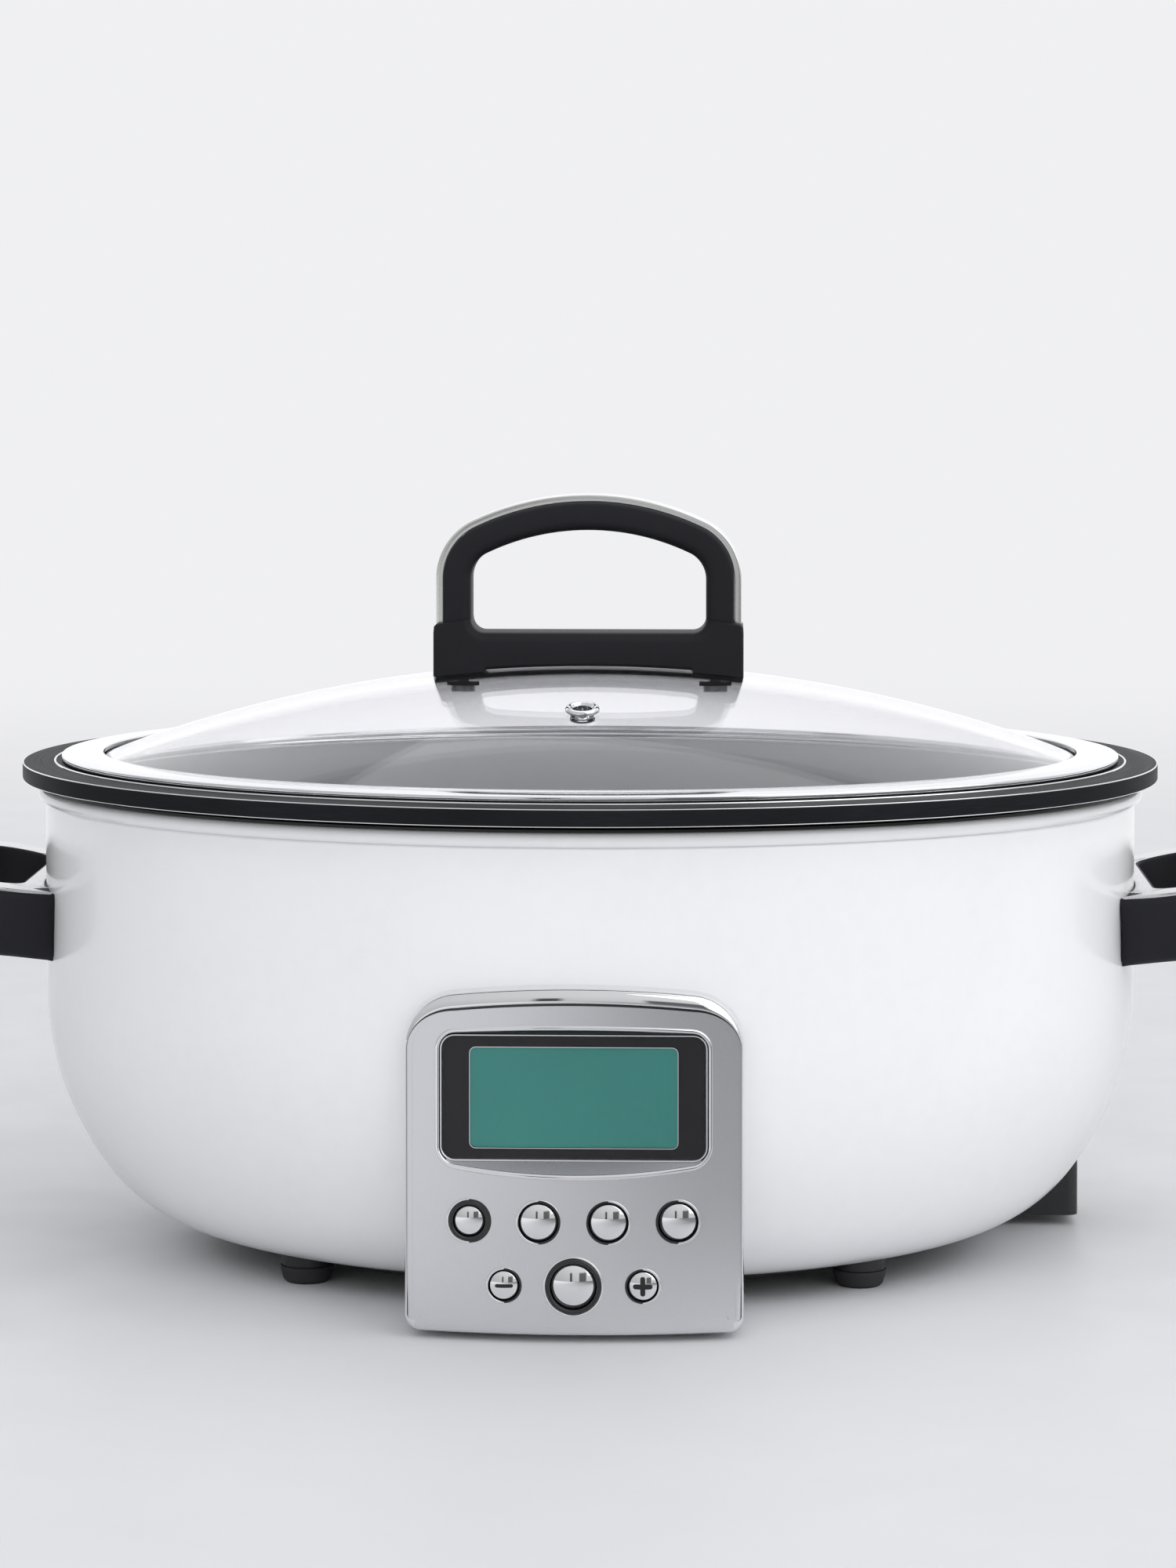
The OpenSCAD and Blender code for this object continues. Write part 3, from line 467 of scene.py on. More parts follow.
@dataclass(frozen=True)
class Finish:
    """One real material with its fine pattern.

    Attributes:
        name: The material's name.
        colour: The sRGB colour.
        second: The sRGB colour that the pattern drifts to.
        roughness: The roughness.
        metallic: The metallic share.
        grain: How the pattern runs.
        scale: The size of the pattern's marks, in millimetres.
        relief: The height of the marks, in millimetres.
        drift: How much of the second colour the marks show.
        extras: Further values for the shader's own sockets.
    """

    name: str
    colour: str
    second: str
    roughness: float
    metallic: float = 0.0
    grain: Grain = Grain.EVEN
    scale: float = 1.0
    relief: float = 0.01
    drift: float = 0.5
    extras: dict = field(default_factory=dict)

    def build(self) -> bpy.types.Material:
        """Makes the material.

        Returns:
            The material.
        """
        found = bpy.data.materials.get(self.name)
        if found:
            return found
        material = bpy.data.materials.new(self.name)
        material.use_nodes = True
        tree = material.node_tree
        tree.nodes.clear()
        place = add_node(tree, "ShaderNodeTexCoord").outputs["Object"]
        marks = self._marks(tree, place)
        clouds = {"Vector": place, "Scale": 1 / (CLOUD * MM), "Detail": 2.0}
        cloud = add_node(tree, "ShaderNodeTexNoise", clouds).outputs[0]
        mix = remap(tree, maths(tree, "MULTIPLY", marks, cloud), 0.1, 0.45, 0.0, self.drift)
        tints = {0: mix, 6: to_linear(self.colour), 7: to_linear(self.second)}
        tint = add_node(tree, "ShaderNodeMix", tints, data_type="RGBA")
        rough = remap(tree, marks, 0.25, 0.75, self.roughness * 0.85, self.roughness * 1.15)
        relief = {"Height": marks, "Strength": 1.0, "Distance": self.relief * MM}
        bump = add_node(tree, "ShaderNodeBump", relief)
        values = {
            "Base Color": tint.outputs[2], "Roughness": rough,
            "Metallic": self.metallic, "Normal": bump.outputs[0],
        }
        shader = add_node(tree, "ShaderNodeBsdfPrincipled", {**values, **self.extras})
        add_node(tree, "ShaderNodeOutputMaterial", {"Surface": shader.outputs[0]})
        return material

    def _marks(self, tree: bpy.types.NodeTree, place: bpy.types.NodeSocket) -> bpy.types.NodeSocket:
        """Makes the pattern of fine marks.

        Args:
            tree: The material's node tree.
            place: The output that gives the place on the object, in metres.

        Returns:
            The output that gives the marks, from 0 to 1.
        """
        fine = 1 / (self.scale * MM)
        if self.grain is Grain.CELLS:
            cells = {"Vector": place, "Scale": fine}
            return add_node(tree, "ShaderNodeTexVoronoi", cells).outputs["Distance"]
        if self.grain is Grain.ROUND:
            squeeze = 1 / (1 - OVAL_GAP / RIM_A)
            level = {0: place, 1: (1, squeeze, 0)}
            flat = add_node(tree, "ShaderNodeVectorMath", level, operation="MULTIPLY")
            reach = add_node(tree, "ShaderNodeVectorMath", {0: flat.outputs[0]}, operation="LENGTH")
            split = add_node(tree, "ShaderNodeSeparateXYZ", {0: place})
            slow = maths(tree, "MULTIPLY", split.outputs[0], 0.04)
            parts = {0: reach.outputs["Value"], 1: slow, 2: split.outputs[2]}
            place = add_node(tree, "ShaderNodeCombineXYZ", parts).outputs[0]
        elif self.grain in (Grain.ALONG_X, Grain.ALONG_Y):
            stretch = (0.03, 1, 1) if self.grain is Grain.ALONG_X else (1, 0.03, 1)
            drawn = {0: place, 1: stretch}
            place = add_node(tree, "ShaderNodeVectorMath", drawn, operation="MULTIPLY").outputs[0]
        grains = {"Vector": place, "Scale": fine, "Detail": 4.0}
        return add_node(tree, "ShaderNodeTexNoise", grains).outputs[0]


# Glossy and nearly white, with faint waves: the lamps show as broad soft lights.
ENAMEL = Finish("white_enamel", "#F3F3F5", "#EDEDEF", 0.2, scale=6, relief=0.006,
                extras={"Coat Weight": 0.2, "Coat Roughness": 0.08, "Specular IOR Level": 0.4})
# Matt black, brushed round the rim: dark, with a dull grey sheen.
POT_COAT = Finish("brushed_black_coating", "#1B1C1E", "#27282C", 0.45, 0.0, Grain.ROUND, 0.4, 0.05, 0.8,
                  {"Specular IOR Level": 0.04})
# Pale grey and half matt: the coating's dark grey drawn lighter as a painted reflection of the room that the
# glass lays over it, so that the inside reads as a lighter bowl behind the glass.
CERAMIC_AND_VEIL = Finish("ceramic_coat_and_painted_veil", "#9DA0A5", "#A6A9AD", 0.3, scale=0.6, relief=0.02)
# Bright metal lines laid on the rim's two edges and on its top: painted highlights that stand for the light
# its rounded edges catch.
RIM_HIGHLIGHT_METAL = Finish("painted_rim_highlights", "#E6E7E9", "#DADBDD", 0.2, 1.0, scale=0.4, relief=0.002)
# A bright band that mirrors the room, with a very fine turned grain.
RING_STEEL = Finish("polished_steel", "#E8E9EA", "#D6D8DA", 0.1, 1.0, Grain.ROUND, 0.3, 0.004, 0.5)
# Mirror bright: clear reflections between dark and light edges.
CHROME = Finish("chrome_plate", "#ECECEE", "#E2E3E6", 0.05, 1.0, scale=4, relief=0.002)
# Silver paint: a wide soft sheen without clear reflections.
SATIN = Finish("satin_silver_paint", "#D9DADD", "#CFD0D4", 0.3, 0.85, scale=0.12, relief=0.003)
# The same paint where it slopes away from the light: a shade darker.
SILL_PAINT = Finish("shaded_silver_paint", "#A4A6AB", "#9B9DA3", 0.28, 0.85, scale=0.12, relief=0.003)
# Long fine scratches over the arch, which draw the light out into a streak.
STRIP_STEEL = Finish("brushed_steel", "#E6E6E5", "#D6D6D5", 0.2, 1.0, Grain.ALONG_X, 0.25, 0.01, 0.6)
# The same scratches from front to back, a shade greyer.
TRIM_STEEL = Finish("brushed_handle_steel", "#D6D6D7", "#C3C4C6", 0.28, 1.0, Grain.ALONG_Y, 0.25, 0.01, 0.6)
# Dense black with a dull sheen: edges show as soft grey lines.
BLACK_PLASTIC = Finish("black_phenolic", "#232327", "#2A2A2F", 0.5, scale=0.5, relief=0.02,
                       extras={"Specular IOR Level": 0.12})
# Smooth black with a sharper sheen than the handles.
RING_PLASTIC = Finish("black_acetal", "#1E1E21", "#29292D", 0.25, scale=0.4, relief=0.01)
# Grainy black that hardly shines.
BASE_PLASTIC = Finish("grained_polypropylene", "#202022", "#2A2A2D", 0.5, grain=Grain.CELLS, scale=0.8,
                      relief=0.05)
# Dull dark grey without any shine.
RUBBER = Finish("grey_rubber", "#2B2B2D", "#343436", 0.8, scale=0.6, relief=0.05)
# Clear and colourless: seen by its reflections, and what lies behind is hardly shifted.
GLASS = Finish("clear_glass", "#FDFDFE", "#FAFAFC", 0.01, scale=30, relief=0.002,
               extras={"Transmission Weight": 1.0, "IOR": 1.36})
# A clear flat pane that adds a slight gloss to the display.
LENS = Finish("clear_acrylic", "#EDEDF0", "#E8E8EC", 0.03, scale=20, relief=0.001,
              extras={"Transmission Weight": 1.0, "IOR": 1.2})
# Flat black round the display.
MASK_INK = Finish("black_screen_ink", "#131318", "#18181D", 0.4, scale=0.2, relief=0.002)
# Green, with a faint painted glow: a weak emission that brightens the screen.
LCD = Finish("green_lcd_painted_glow", "#42968B", "#3A877C", 0.35, scale=0.35, relief=0.002, drift=0.8,
             extras={"Emission Color": to_linear("#3F8D85"), "Emission Strength": 0.25})
# Nearly black and dull: a dark coated sheet drawn near black as painted shade, so that the well reads as the
# shadowed gap under the pot's rim. The display's downward brow takes it as painted shade too.
DARK_SHEET_AND_SHADE = Finish("dark_sheet_and_painted_shade", "#111112", "#1A1A1C", 0.5, scale=3.0, relief=0.01, drift=0.7)
# Rough pale metal with a cast skin.
CAST = Finish("cast_aluminium", "#A5A6A8", "#939497", 0.45, 1.0, scale=1.2, relief=0.05)
# Brown-grey metal, darkened by heat.
SHEATH = Finish("element_sheath", "#4A463F", "#3B3833", 0.45, 0.8, scale=1.0, relief=0.02)
# Green board with a woven look.
BOARD = Finish("glass_fibre_board", "#1F5B3A", "#2E7A4F", 0.4, grain=Grain.CELLS, scale=2.5, relief=0.03,
               drift=0.8)
# Pale grey fixings with a soft shine.
ZINC = Finish("zinc_plated_steel", "#B9BABD", "#A3A4A8", 0.3, 1.0, scale=0.8, relief=0.01)
# Thin black marks on the buttons.
MARK_INK = Finish("black_mark_ink", "#141416", "#1C1C1F", 0.45, scale=0.2, relief=0.002)
# Plain pale grey that takes a soft shadow.
FLOOR = Finish("pale_floor", "#D9DADC", "#D4D5D8", 0.5, scale=40, relief=0.0)

SLOT_FINISH = {
    "enamel": ENAMEL, "base_plastic": BASE_PLASTIC, "foot_rubber": RUBBER, "fixings": ZINC,
    "liner_sheet": DARK_SHEET_AND_SHADE, "heater_aluminium": CAST, "element_tube": SHEATH, "board": BOARD,
    "panel_satin": SATIN, "bright_trim": CHROME, "window": LENS, "window_mask": MASK_INK, "lcd": LCD,
    "ring_black": RING_PLASTIC, "handle_black": BLACK_PLASTIC, "brushed_trim": TRIM_STEEL,
    "pot_black": POT_COAT, "lid_glass": GLASS,
}


def dress(piece: bpy.types.Object, finish: Finish, slot: str, body: str, *nodes: str) -> bpy.types.Object:
    """Gives a piece its finish, its body and the CAD nodes that it stands for.

    Args:
        piece: The new piece.
        finish: Its finish.
        slot: The record's material slot. Not used.
        body: The CAD body that it rides on.
        *nodes: The CAD nodes that it replaces.

    Returns:
        The piece.
    """
    piece.data.materials.append(finish.build())
    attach(piece, body)
    if nodes:
        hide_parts(*nodes)
    LOG.info("%s on %s, %d faces", piece.name, body, len(piece.data.polygons))
    return piece


def body_half(z: float) -> float:
    """Gives the body's outer half length at a height.

    Args:
        z: The height.

    Returns:
        The half length.
    """
    if z >= SHOULDER[1]:
        return BODY_A
    split = SHOULDER[1] - SHOULDER_R * math.sin(SHOULDER_TURN)
    if z >= split:
        return SHOULDER[0] + math.sqrt(SHOULDER_R**2 - (SHOULDER[1] - z) ** 2)
    return HEEL[0] + math.sqrt(max(HEEL_R**2 - (HEEL[1] - max(z, BODY_Z)) ** 2, 0))


def body_front(x: float, z: float) -> float:
    """Gives y of the body's front face.

    Args:
        x: The place sideways.
        z: The height.

    Returns:
        The place along y, which is negative.
    """
    return -BODY_SQUEEZE * math.sqrt(max(body_half(z) ** 2 - x * x, 0))


@dataclass
class Shell:
    """The enamelled body."""

    bead_steps: int = 20

    def build(self) -> None:
        """Makes the shell: a flat bottom, two tangent arcs, a straight wall and a rolled bead."""
        turn = math.degrees(SHOULDER_TURN)
        outer = [(BOTTOM_HOLE, BODY_Z), (HEEL[0] - 8, BODY_Z)]
        outer += arc(HEEL, HEEL_R, -90, -turn, 20)
        outer += arc(SHOULDER, SHOULDER_R, -turn, 0, 20)[1:]
        bead = (BODY_A + BEAD_R / 10, RIM_Z - BEAD_R)
        outer += line((BODY_A, SHOULDER[1]), (BODY_A, bead[1] - BEAD_R - 1.2), 6)[1:]
        outer += [(BODY_A - 0.1, bead[1] - BEAD_R - 0.7), (BODY_A - 0.6, bead[1] - BEAD_R + 0.1)]
        outer += arc(bead, BEAD_R, -65, 180, self.bead_steps)
        inner = arc(SHOULDER, SHOULDER_R - SHEET_T, 0, -turn, 20)
        inner += arc(HEEL, HEEL_R - SHEET_T, -turn, -90, 20)[1:]
        inner += [(BOTTOM_HOLE, BODY_Z + SHEET_T)]
        section = outer + inner
        piece = oval("enamelled_shell", section, BODY_A, 60)
        dress(piece, ENAMEL, "enamel", "base", "housing")


@dataclass
class BasePlate:
    """The black plate under the enamel, which carries the feet."""

    edge: float = 129.0
    lip: float = 140.0
    pad_r: float = 9.3
    pad_h: float = 4.2

    def build(self, frame: dict) -> None:
        """Makes the plate from the CAD's own, drawn in under the enamel, and a pad over each foot.

        Args:
            frame: The loaded frame.
        """
        mesh = merged_copy(frame["nodes"]["base_tray"], "base_plate")
        wide = max(math.hypot(v.co.x, v.co.y / BODY_SQUEEZE) for v in mesh.vertices) / MM
        for v in mesh.vertices:
            reach = math.hypot(v.co.x, v.co.y / BODY_SQUEEZE) / MM
            if reach <= HEEL[0] + 0.1:
                continue
            if v.co.z < (BODY_Z - 2.5) * MM:
                aim = self.edge
            else:
                aim = HEEL[0] + (reach - HEEL[0]) * (self.lip - HEEL[0]) / (wide - HEEL[0])
                v.co.z = (HEEL[1] - math.sqrt((HEEL_R + 0.05) ** 2 - (aim - HEEL[0]) ** 2)) * MM
            v.co.x *= aim / reach
            v.co.y *= aim / reach
        dress(place_mesh(mesh), BASE_PLASTIC, "base_plastic", "base", "base_tray")
        for i, (x, y) in enumerate(((1, 1), (-1, 1), (-1, -1), (1, -1))):
            corners = [(0, 0), (self.pad_r, 0), (self.pad_r, self.pad_h), (0, self.pad_h)]
            section = rounded(corners, [0.01, 0.4, 0.4, 0.01], 3)
            pad = turned(f"foot_pad_{i}", section, (x * FOOT[0], y * FOOT[1], FOOT_TOP), 0)
            dress(pad, BASE_PLASTIC, "base_plastic", "base")


@dataclass
class Pot:
    """The lift-out cooking pot."""

    edge_r: float = 0.9
    mouth_r: float = 3.5
    coat: float = 0.3

    def build(self) -> None:
        """Makes the pot: a tub with a sloping wall, a round corner and a wide flat rim."""
        wall_a = MOUTH_A + POT_T
        floor_in = POT_Z + POT_T
        slope = math.tan(DRAFT)
        corner_z = POT_Z + POT_CORNER
        centre = wall_a + (math.sin(DRAFT) * (corner_z - POT_TOP) - POT_CORNER) / math.cos(DRAFT)
        turn = math.degrees(DRAFT)
        section, half = [], []

        def put(points: list, reach: float) -> None:
            """Adds points to the section, each on an oval of this half length."""
            section.extend(points)
            half.extend([reach] * len(points))

        put(line((0, POT_Z), (centre, POT_Z), 8), wall_a)
        put(arc((centre, corner_z), POT_CORNER, -90, -turn, 14)[1:], wall_a)
        put([(wall_a - slope * (POT_TOP - POT_RIM_Z), POT_RIM_Z)], wall_a)
        r = self.edge_r
        put(arc((RIM_A - r, POT_RIM_Z + r), r, -90, 0, 6), RIM_A)
        put(arc((RIM_A - r, POT_TOP - r), r, 0, 90, 6), RIM_A)
        put(line((RIM_A - 6, POT_TOP), (MOUTH_A + self.mouth_r + 3, POT_TOP), 4), RIM_A - 8)
        m = self.mouth_r
        put(arc((MOUTH_A + m, POT_TOP - m), m, 90, 180 - turn, 8), MOUTH_A)
        put(arc((centre, corner_z), POT_CORNER - POT_T, -turn, -90, 14), MOUTH_A)
        put(line((centre - 8, floor_in), (0, floor_in), 8), MOUTH_A)
        dress(oval("cooking_pot", section, half, 50), POT_COAT, "pot_black", "pot", "pot")
        self._lining(centre, corner_z)
        # Thin bright beads on the rim: painted highlights along its edges and on its top.
        lines = (
            ("rim_line_upper", RIM_A - 0.3, POT_TOP - 0.3, 0.24),
            ("rim_line_lower", RIM_A - 0.2, POT_RIM_Z + 0.25, 0.16),
            ("rim_top_highlight", RING_A + 2.4, POT_TOP + 0.1, 0.45),
        )
        for name, reach, z, r in lines:
            ring = oval(name, arc((reach, z), r, 0, 324, 9), reach)
            dress(ring, RIM_HIGHLIGHT_METAL, "bright_trim", "pot")

    def _lining(self, centre: float, corner_z: float) -> None:
        """Makes the ceramic coat: a thin closed skin over the inside, from the mouth to the floor.

        Args:
            centre: The middle of the corner's rounding, from the axis.
            corner_z: The height of that middle.
        """
        turn = math.degrees(DRAFT)
        top = POT_TOP - self.mouth_r - 0.6
        skin = []
        for gap in (0.05, self.coat):
            r = POT_CORNER - POT_T - gap
            bend = arc((centre, corner_z), r, -turn, -90, 14)
            reach = bend[0][0] + math.tan(DRAFT) * (top - bend[0][1])
            skin.append([(reach, top)] + bend + line((centre - 8, corner_z - r), (0, corner_z - r), 8))
        section = skin[0] + skin[1][::-1]
        # The coat's pale grey is painted reflection over its own dark grey.
        dress(oval("pot_lining", section, MOUTH_A, 50), CERAMIC_AND_VEIL, "pot_black", "pot")


@dataclass
class LidRing:
    """The stainless band round the glass."""

    skirt: float = 182.6
    skirt_z: float = 175.4
    roll: float = 0.9

    def build(self) -> None:
        """Makes the band with its downward skirt and the lip under the glass."""
        inner = RING_A - RING_W
        corners = [
            (inner - 2, self.skirt_z), (self.skirt, self.skirt_z), (self.skirt, LID_Z), (RING_A, LID_Z),
            (RING_A, RING_TOP + 0.2), (RING_A - 5, RING_TOP + self.roll),
            (inner, RING_TOP + self.roll + 0.3), (inner, RING_TOP - 0.8), (GLASS_A + 0.1, RING_TOP - 0.8),
            (GLASS_A + 0.1, self.skirt_z + 1), (inner - 2, self.skirt_z + 1),
        ]
        radii = [0.3, 0.6, 0.5, 0.8, 0.7, 3.0, 0.5, 0.3, 0.2, 0.4, 0.3]
        section = rounded(corners, radii, 5)
        dress(oval("lid_band", section, RING_A, 40), RING_STEEL, "bright_trim", "lid", "lid_ring")


def dome_z(x: np.ndarray, y: np.ndarray, depth: float = 0.0) -> np.ndarray:
    """Gives the height of the glass dome, a ball of radius DOME_R that is squeezed along y.

    Args:
        x: The places along x.
        y: The places along y.
        depth: The depth under the outer surface, measured along the ball's radius.

    Returns:
        The heights.
    """
    return DOME_TOP - DOME_R + np.sqrt((DOME_R - depth) ** 2 - x**2 - (y / GLASS_SQUEEZE) ** 2)


@dataclass
class GlassDome:
    """The tempered glass of the lid, with the hole for the grommet."""

    thick: float = 4.0
    hole: float = 4.3
    edge_r: float = 0.35
    steps: int = 40

    def build(self, frame: dict) -> None:
        """Makes the dome as rays from the vent's hole to the oval edge, and lifts the fixings to it.

        Args:
            frame: The loaded frame.
        """
        t = np.linspace(0, 2 * math.pi, OVAL_TURNS, endpoint=False)[:, None]
        edge_x, edge_y = GLASS_A * np.cos(t), GLASS_A * GLASS_SQUEEZE * np.sin(t) + VENT_Y
        reach = np.hypot(edge_x, edge_y)
        share = np.linspace(0, 1, self.steps + 1)
        top = self.hole + share * (reach - self.hole)
        top[:, -1:] -= 0.3
        low = top[:, ::-1]
        side = np.hstack([top, reach, reach, low])
        depth = np.hstack([
            np.zeros(top.shape), np.full(t.shape, self.edge_r), np.full(t.shape, self.thick - self.edge_r),
            np.full(low.shape, self.thick),
        ])
        x = side * edge_x / reach
        y = side * edge_y / reach - VENT_Y
        loops = np.stack([x, y, dome_z(x, y, depth)], axis=2)
        dress(loft("glass_dome", loops, crease=60), GLASS, "lid_glass", "lid", "lid_glass")
        for name, node, finish, slot in (
            ("dome_screws", "lid_screws", ZINC, "fixings"),
            ("dome_washers", "lid_washers", RUBBER, "foot_rubber"),
        ):
            mesh = merged_copy(frame["nodes"][node], name)
            for v in mesh.vertices:
                v.co.z += DOME_LIFT * MM
            dress(place_mesh(mesh), finish, slot, "lid", node)


@dataclass
class VentEyelet:
    """The bright grommet in the glass."""

    bore: float = 3.45
    collar: float = 5.6

    def build(self) -> None:
        """Makes a rounded ring and a collar through the glass, with an open bore."""
        height = float(dome_z(0, VENT_Y))
        place = (0, -VENT_Y, height)
        tilt = math.atan2(VENT_Y / GLASS_SQUEEZE**2, height - DOME_TOP + DOME_R)
        r = VENT_D / 2
        section = [(r + 0.22, -0.15)] + arc((r - 0.85, 0.45), 1.1, -10, 150, 14)
        section += [(self.bore, 0.5), (self.bore, -self.collar)]
        section += [(self.bore + 1.1, -self.collar), (self.bore + 1.1, -self.collar + 0.6)]
        section += [(self.bore + 0.6, -4.8), (self.bore + 0.6, 0.1)]
        dress(turned("vent_grommet", section, place, tilt), CHROME, "bright_trim", "lid", "vent_eyelet")


@dataclass
class LidHandle:
    """The black arch with its base blocks, and the steel strip over it."""

    depth: float = 10.0
    base_depth: float = 12.0
    base_z: float = 203.0
    inner_r: float = 3.6
    outer_r: float = 1.4

    def _arch(self, offset: float) -> list:
        """Gives half of the arch's outline, from the leg up to the crown.

        Args:
            offset: The distance from the bar's middle line.

        Returns:
            The points, as (x, z).
        """
        lean = math.degrees(math.atan2(ARCH_CORNER[0], ARCH_CORNER[1] - CROWN_Z))
        points = line((LEG_X + offset, LUG_TOP + 2.2), (LEG_X + offset, ARCH_CORNER[1]), 4)[:-1]
        points += arc(ARCH_CORNER, ARCH_CORNER_R + offset, 0, 90 - lean, 14)[:-1]
        return points + arc((0, CROWN_Z), CROWN_R + offset, 90 - lean, 90, 14)

    def _stations(self) -> tuple:
        """Gives the matched inner and outer points of half the handle, and its half depth there."""
        w = LEG_X - ARCH_BAR / 2
        side = LUG_W / 2
        foot = side - LUG_L
        inner = line((0, CROSSBAR_TOP), (foot - 0.6, CROSSBAR_TOP), 12)
        outer = [(x, CROSSBAR_Z + 0.3 - 1.4 * (x / foot) ** 2) for x in np.linspace(0, foot - 0.6, 13)]
        depth = [self.base_depth] * 13
        bend = arc((w - OPENING_R, CROSSBAR_TOP + OPENING_R), OPENING_R, -90, 0, 12)
        z = self.base_z
        path = [(foot, CROSSBAR_Z - 1.3), (foot + 0.3, z + 5.5), (foot + 1.5, z + 4), (foot + 8, z)]
        path += [(side - 6, z), (side - 0.8, z), (side, z + 2), (side, z + 9), (side, z + 17), (side, z + 24)]
        path += [(side - 0.2, LUG_TOP - 1)]
        path += [(side - 1.0, LUG_TOP - 0.1), (side - 1.6, LUG_TOP)]
        inner += bend
        outer += path
        depth += [self.base_depth] * 13
        inner += [(w, CROSSBAR_TOP + OPENING_R + 0.05), (w, CROSSBAR_TOP + OPENING_R + 0.1)]
        outer += [(LEG_X + ARCH_BAR / 2 + 0.6, LUG_TOP + 0.02), (LEG_X + ARCH_BAR / 2, LUG_TOP + 0.3)]
        depth += [self.base_depth - 0.3, self.depth]
        upper_in, upper_out = self._arch(-ARCH_BAR / 2), self._arch(ARCH_BAR / 2)
        return inner + upper_in, outer + upper_out, depth + [self.depth] * len(upper_in)

    def build(self) -> None:
        """Makes the arch as a bar between two outlines, set on the dome, and its strip."""
        inner, outer, depth = self._stations()
        mirror = [(-x, z) for x, z in inner[-2:0:-1]], [(-x, z) for x, z in outer[-2:0:-1]]
        inner, outer, depth = inner + mirror[0], outer + mirror[1], depth + depth[-2:0:-1]
        loops = band(inner, outer, -np.array(depth), np.array(depth),
                     (self.inner_r, self.outer_r, self.outer_r, self.inner_r))
        loops = loops[:, :, [0, 2, 1]]
        loops[:, :, 2] = np.maximum(loops[:, :, 2], dome_z(loops[:, :, 0], loops[:, :, 1]) + 0.15)
        dress(loft("lid_handle_arch", loops, crease=45), BLACK_PLASTIC, "handle_black", "lid", "lid_handle")
        under, over = self._arch(ARCH_BAR / 2 + 0.05), self._arch(ARCH_BAR / 2 + STRIP_T)
        under[0], over[0] = (under[0][0], LUG_TOP + 0.1), (over[0][0], LUG_TOP + 0.1)
        under += [(-x, z) for x, z in under[-2::-1]]
        over += [(-x, z) for x, z in over[-2::-1]]
        half = np.full(len(under), self.depth - 3.5)
        loops = band(under, over, -half, half, (0.2, 0.7, 0.7, 0.2), 4)[:, :, [0, 2, 1]]
        strip = loft("lid_handle_strap", loops, ring=False, crease=40)
        dress(strip, STRIP_STEEL, "brushed_trim", "lid", "lid_handle_strip")


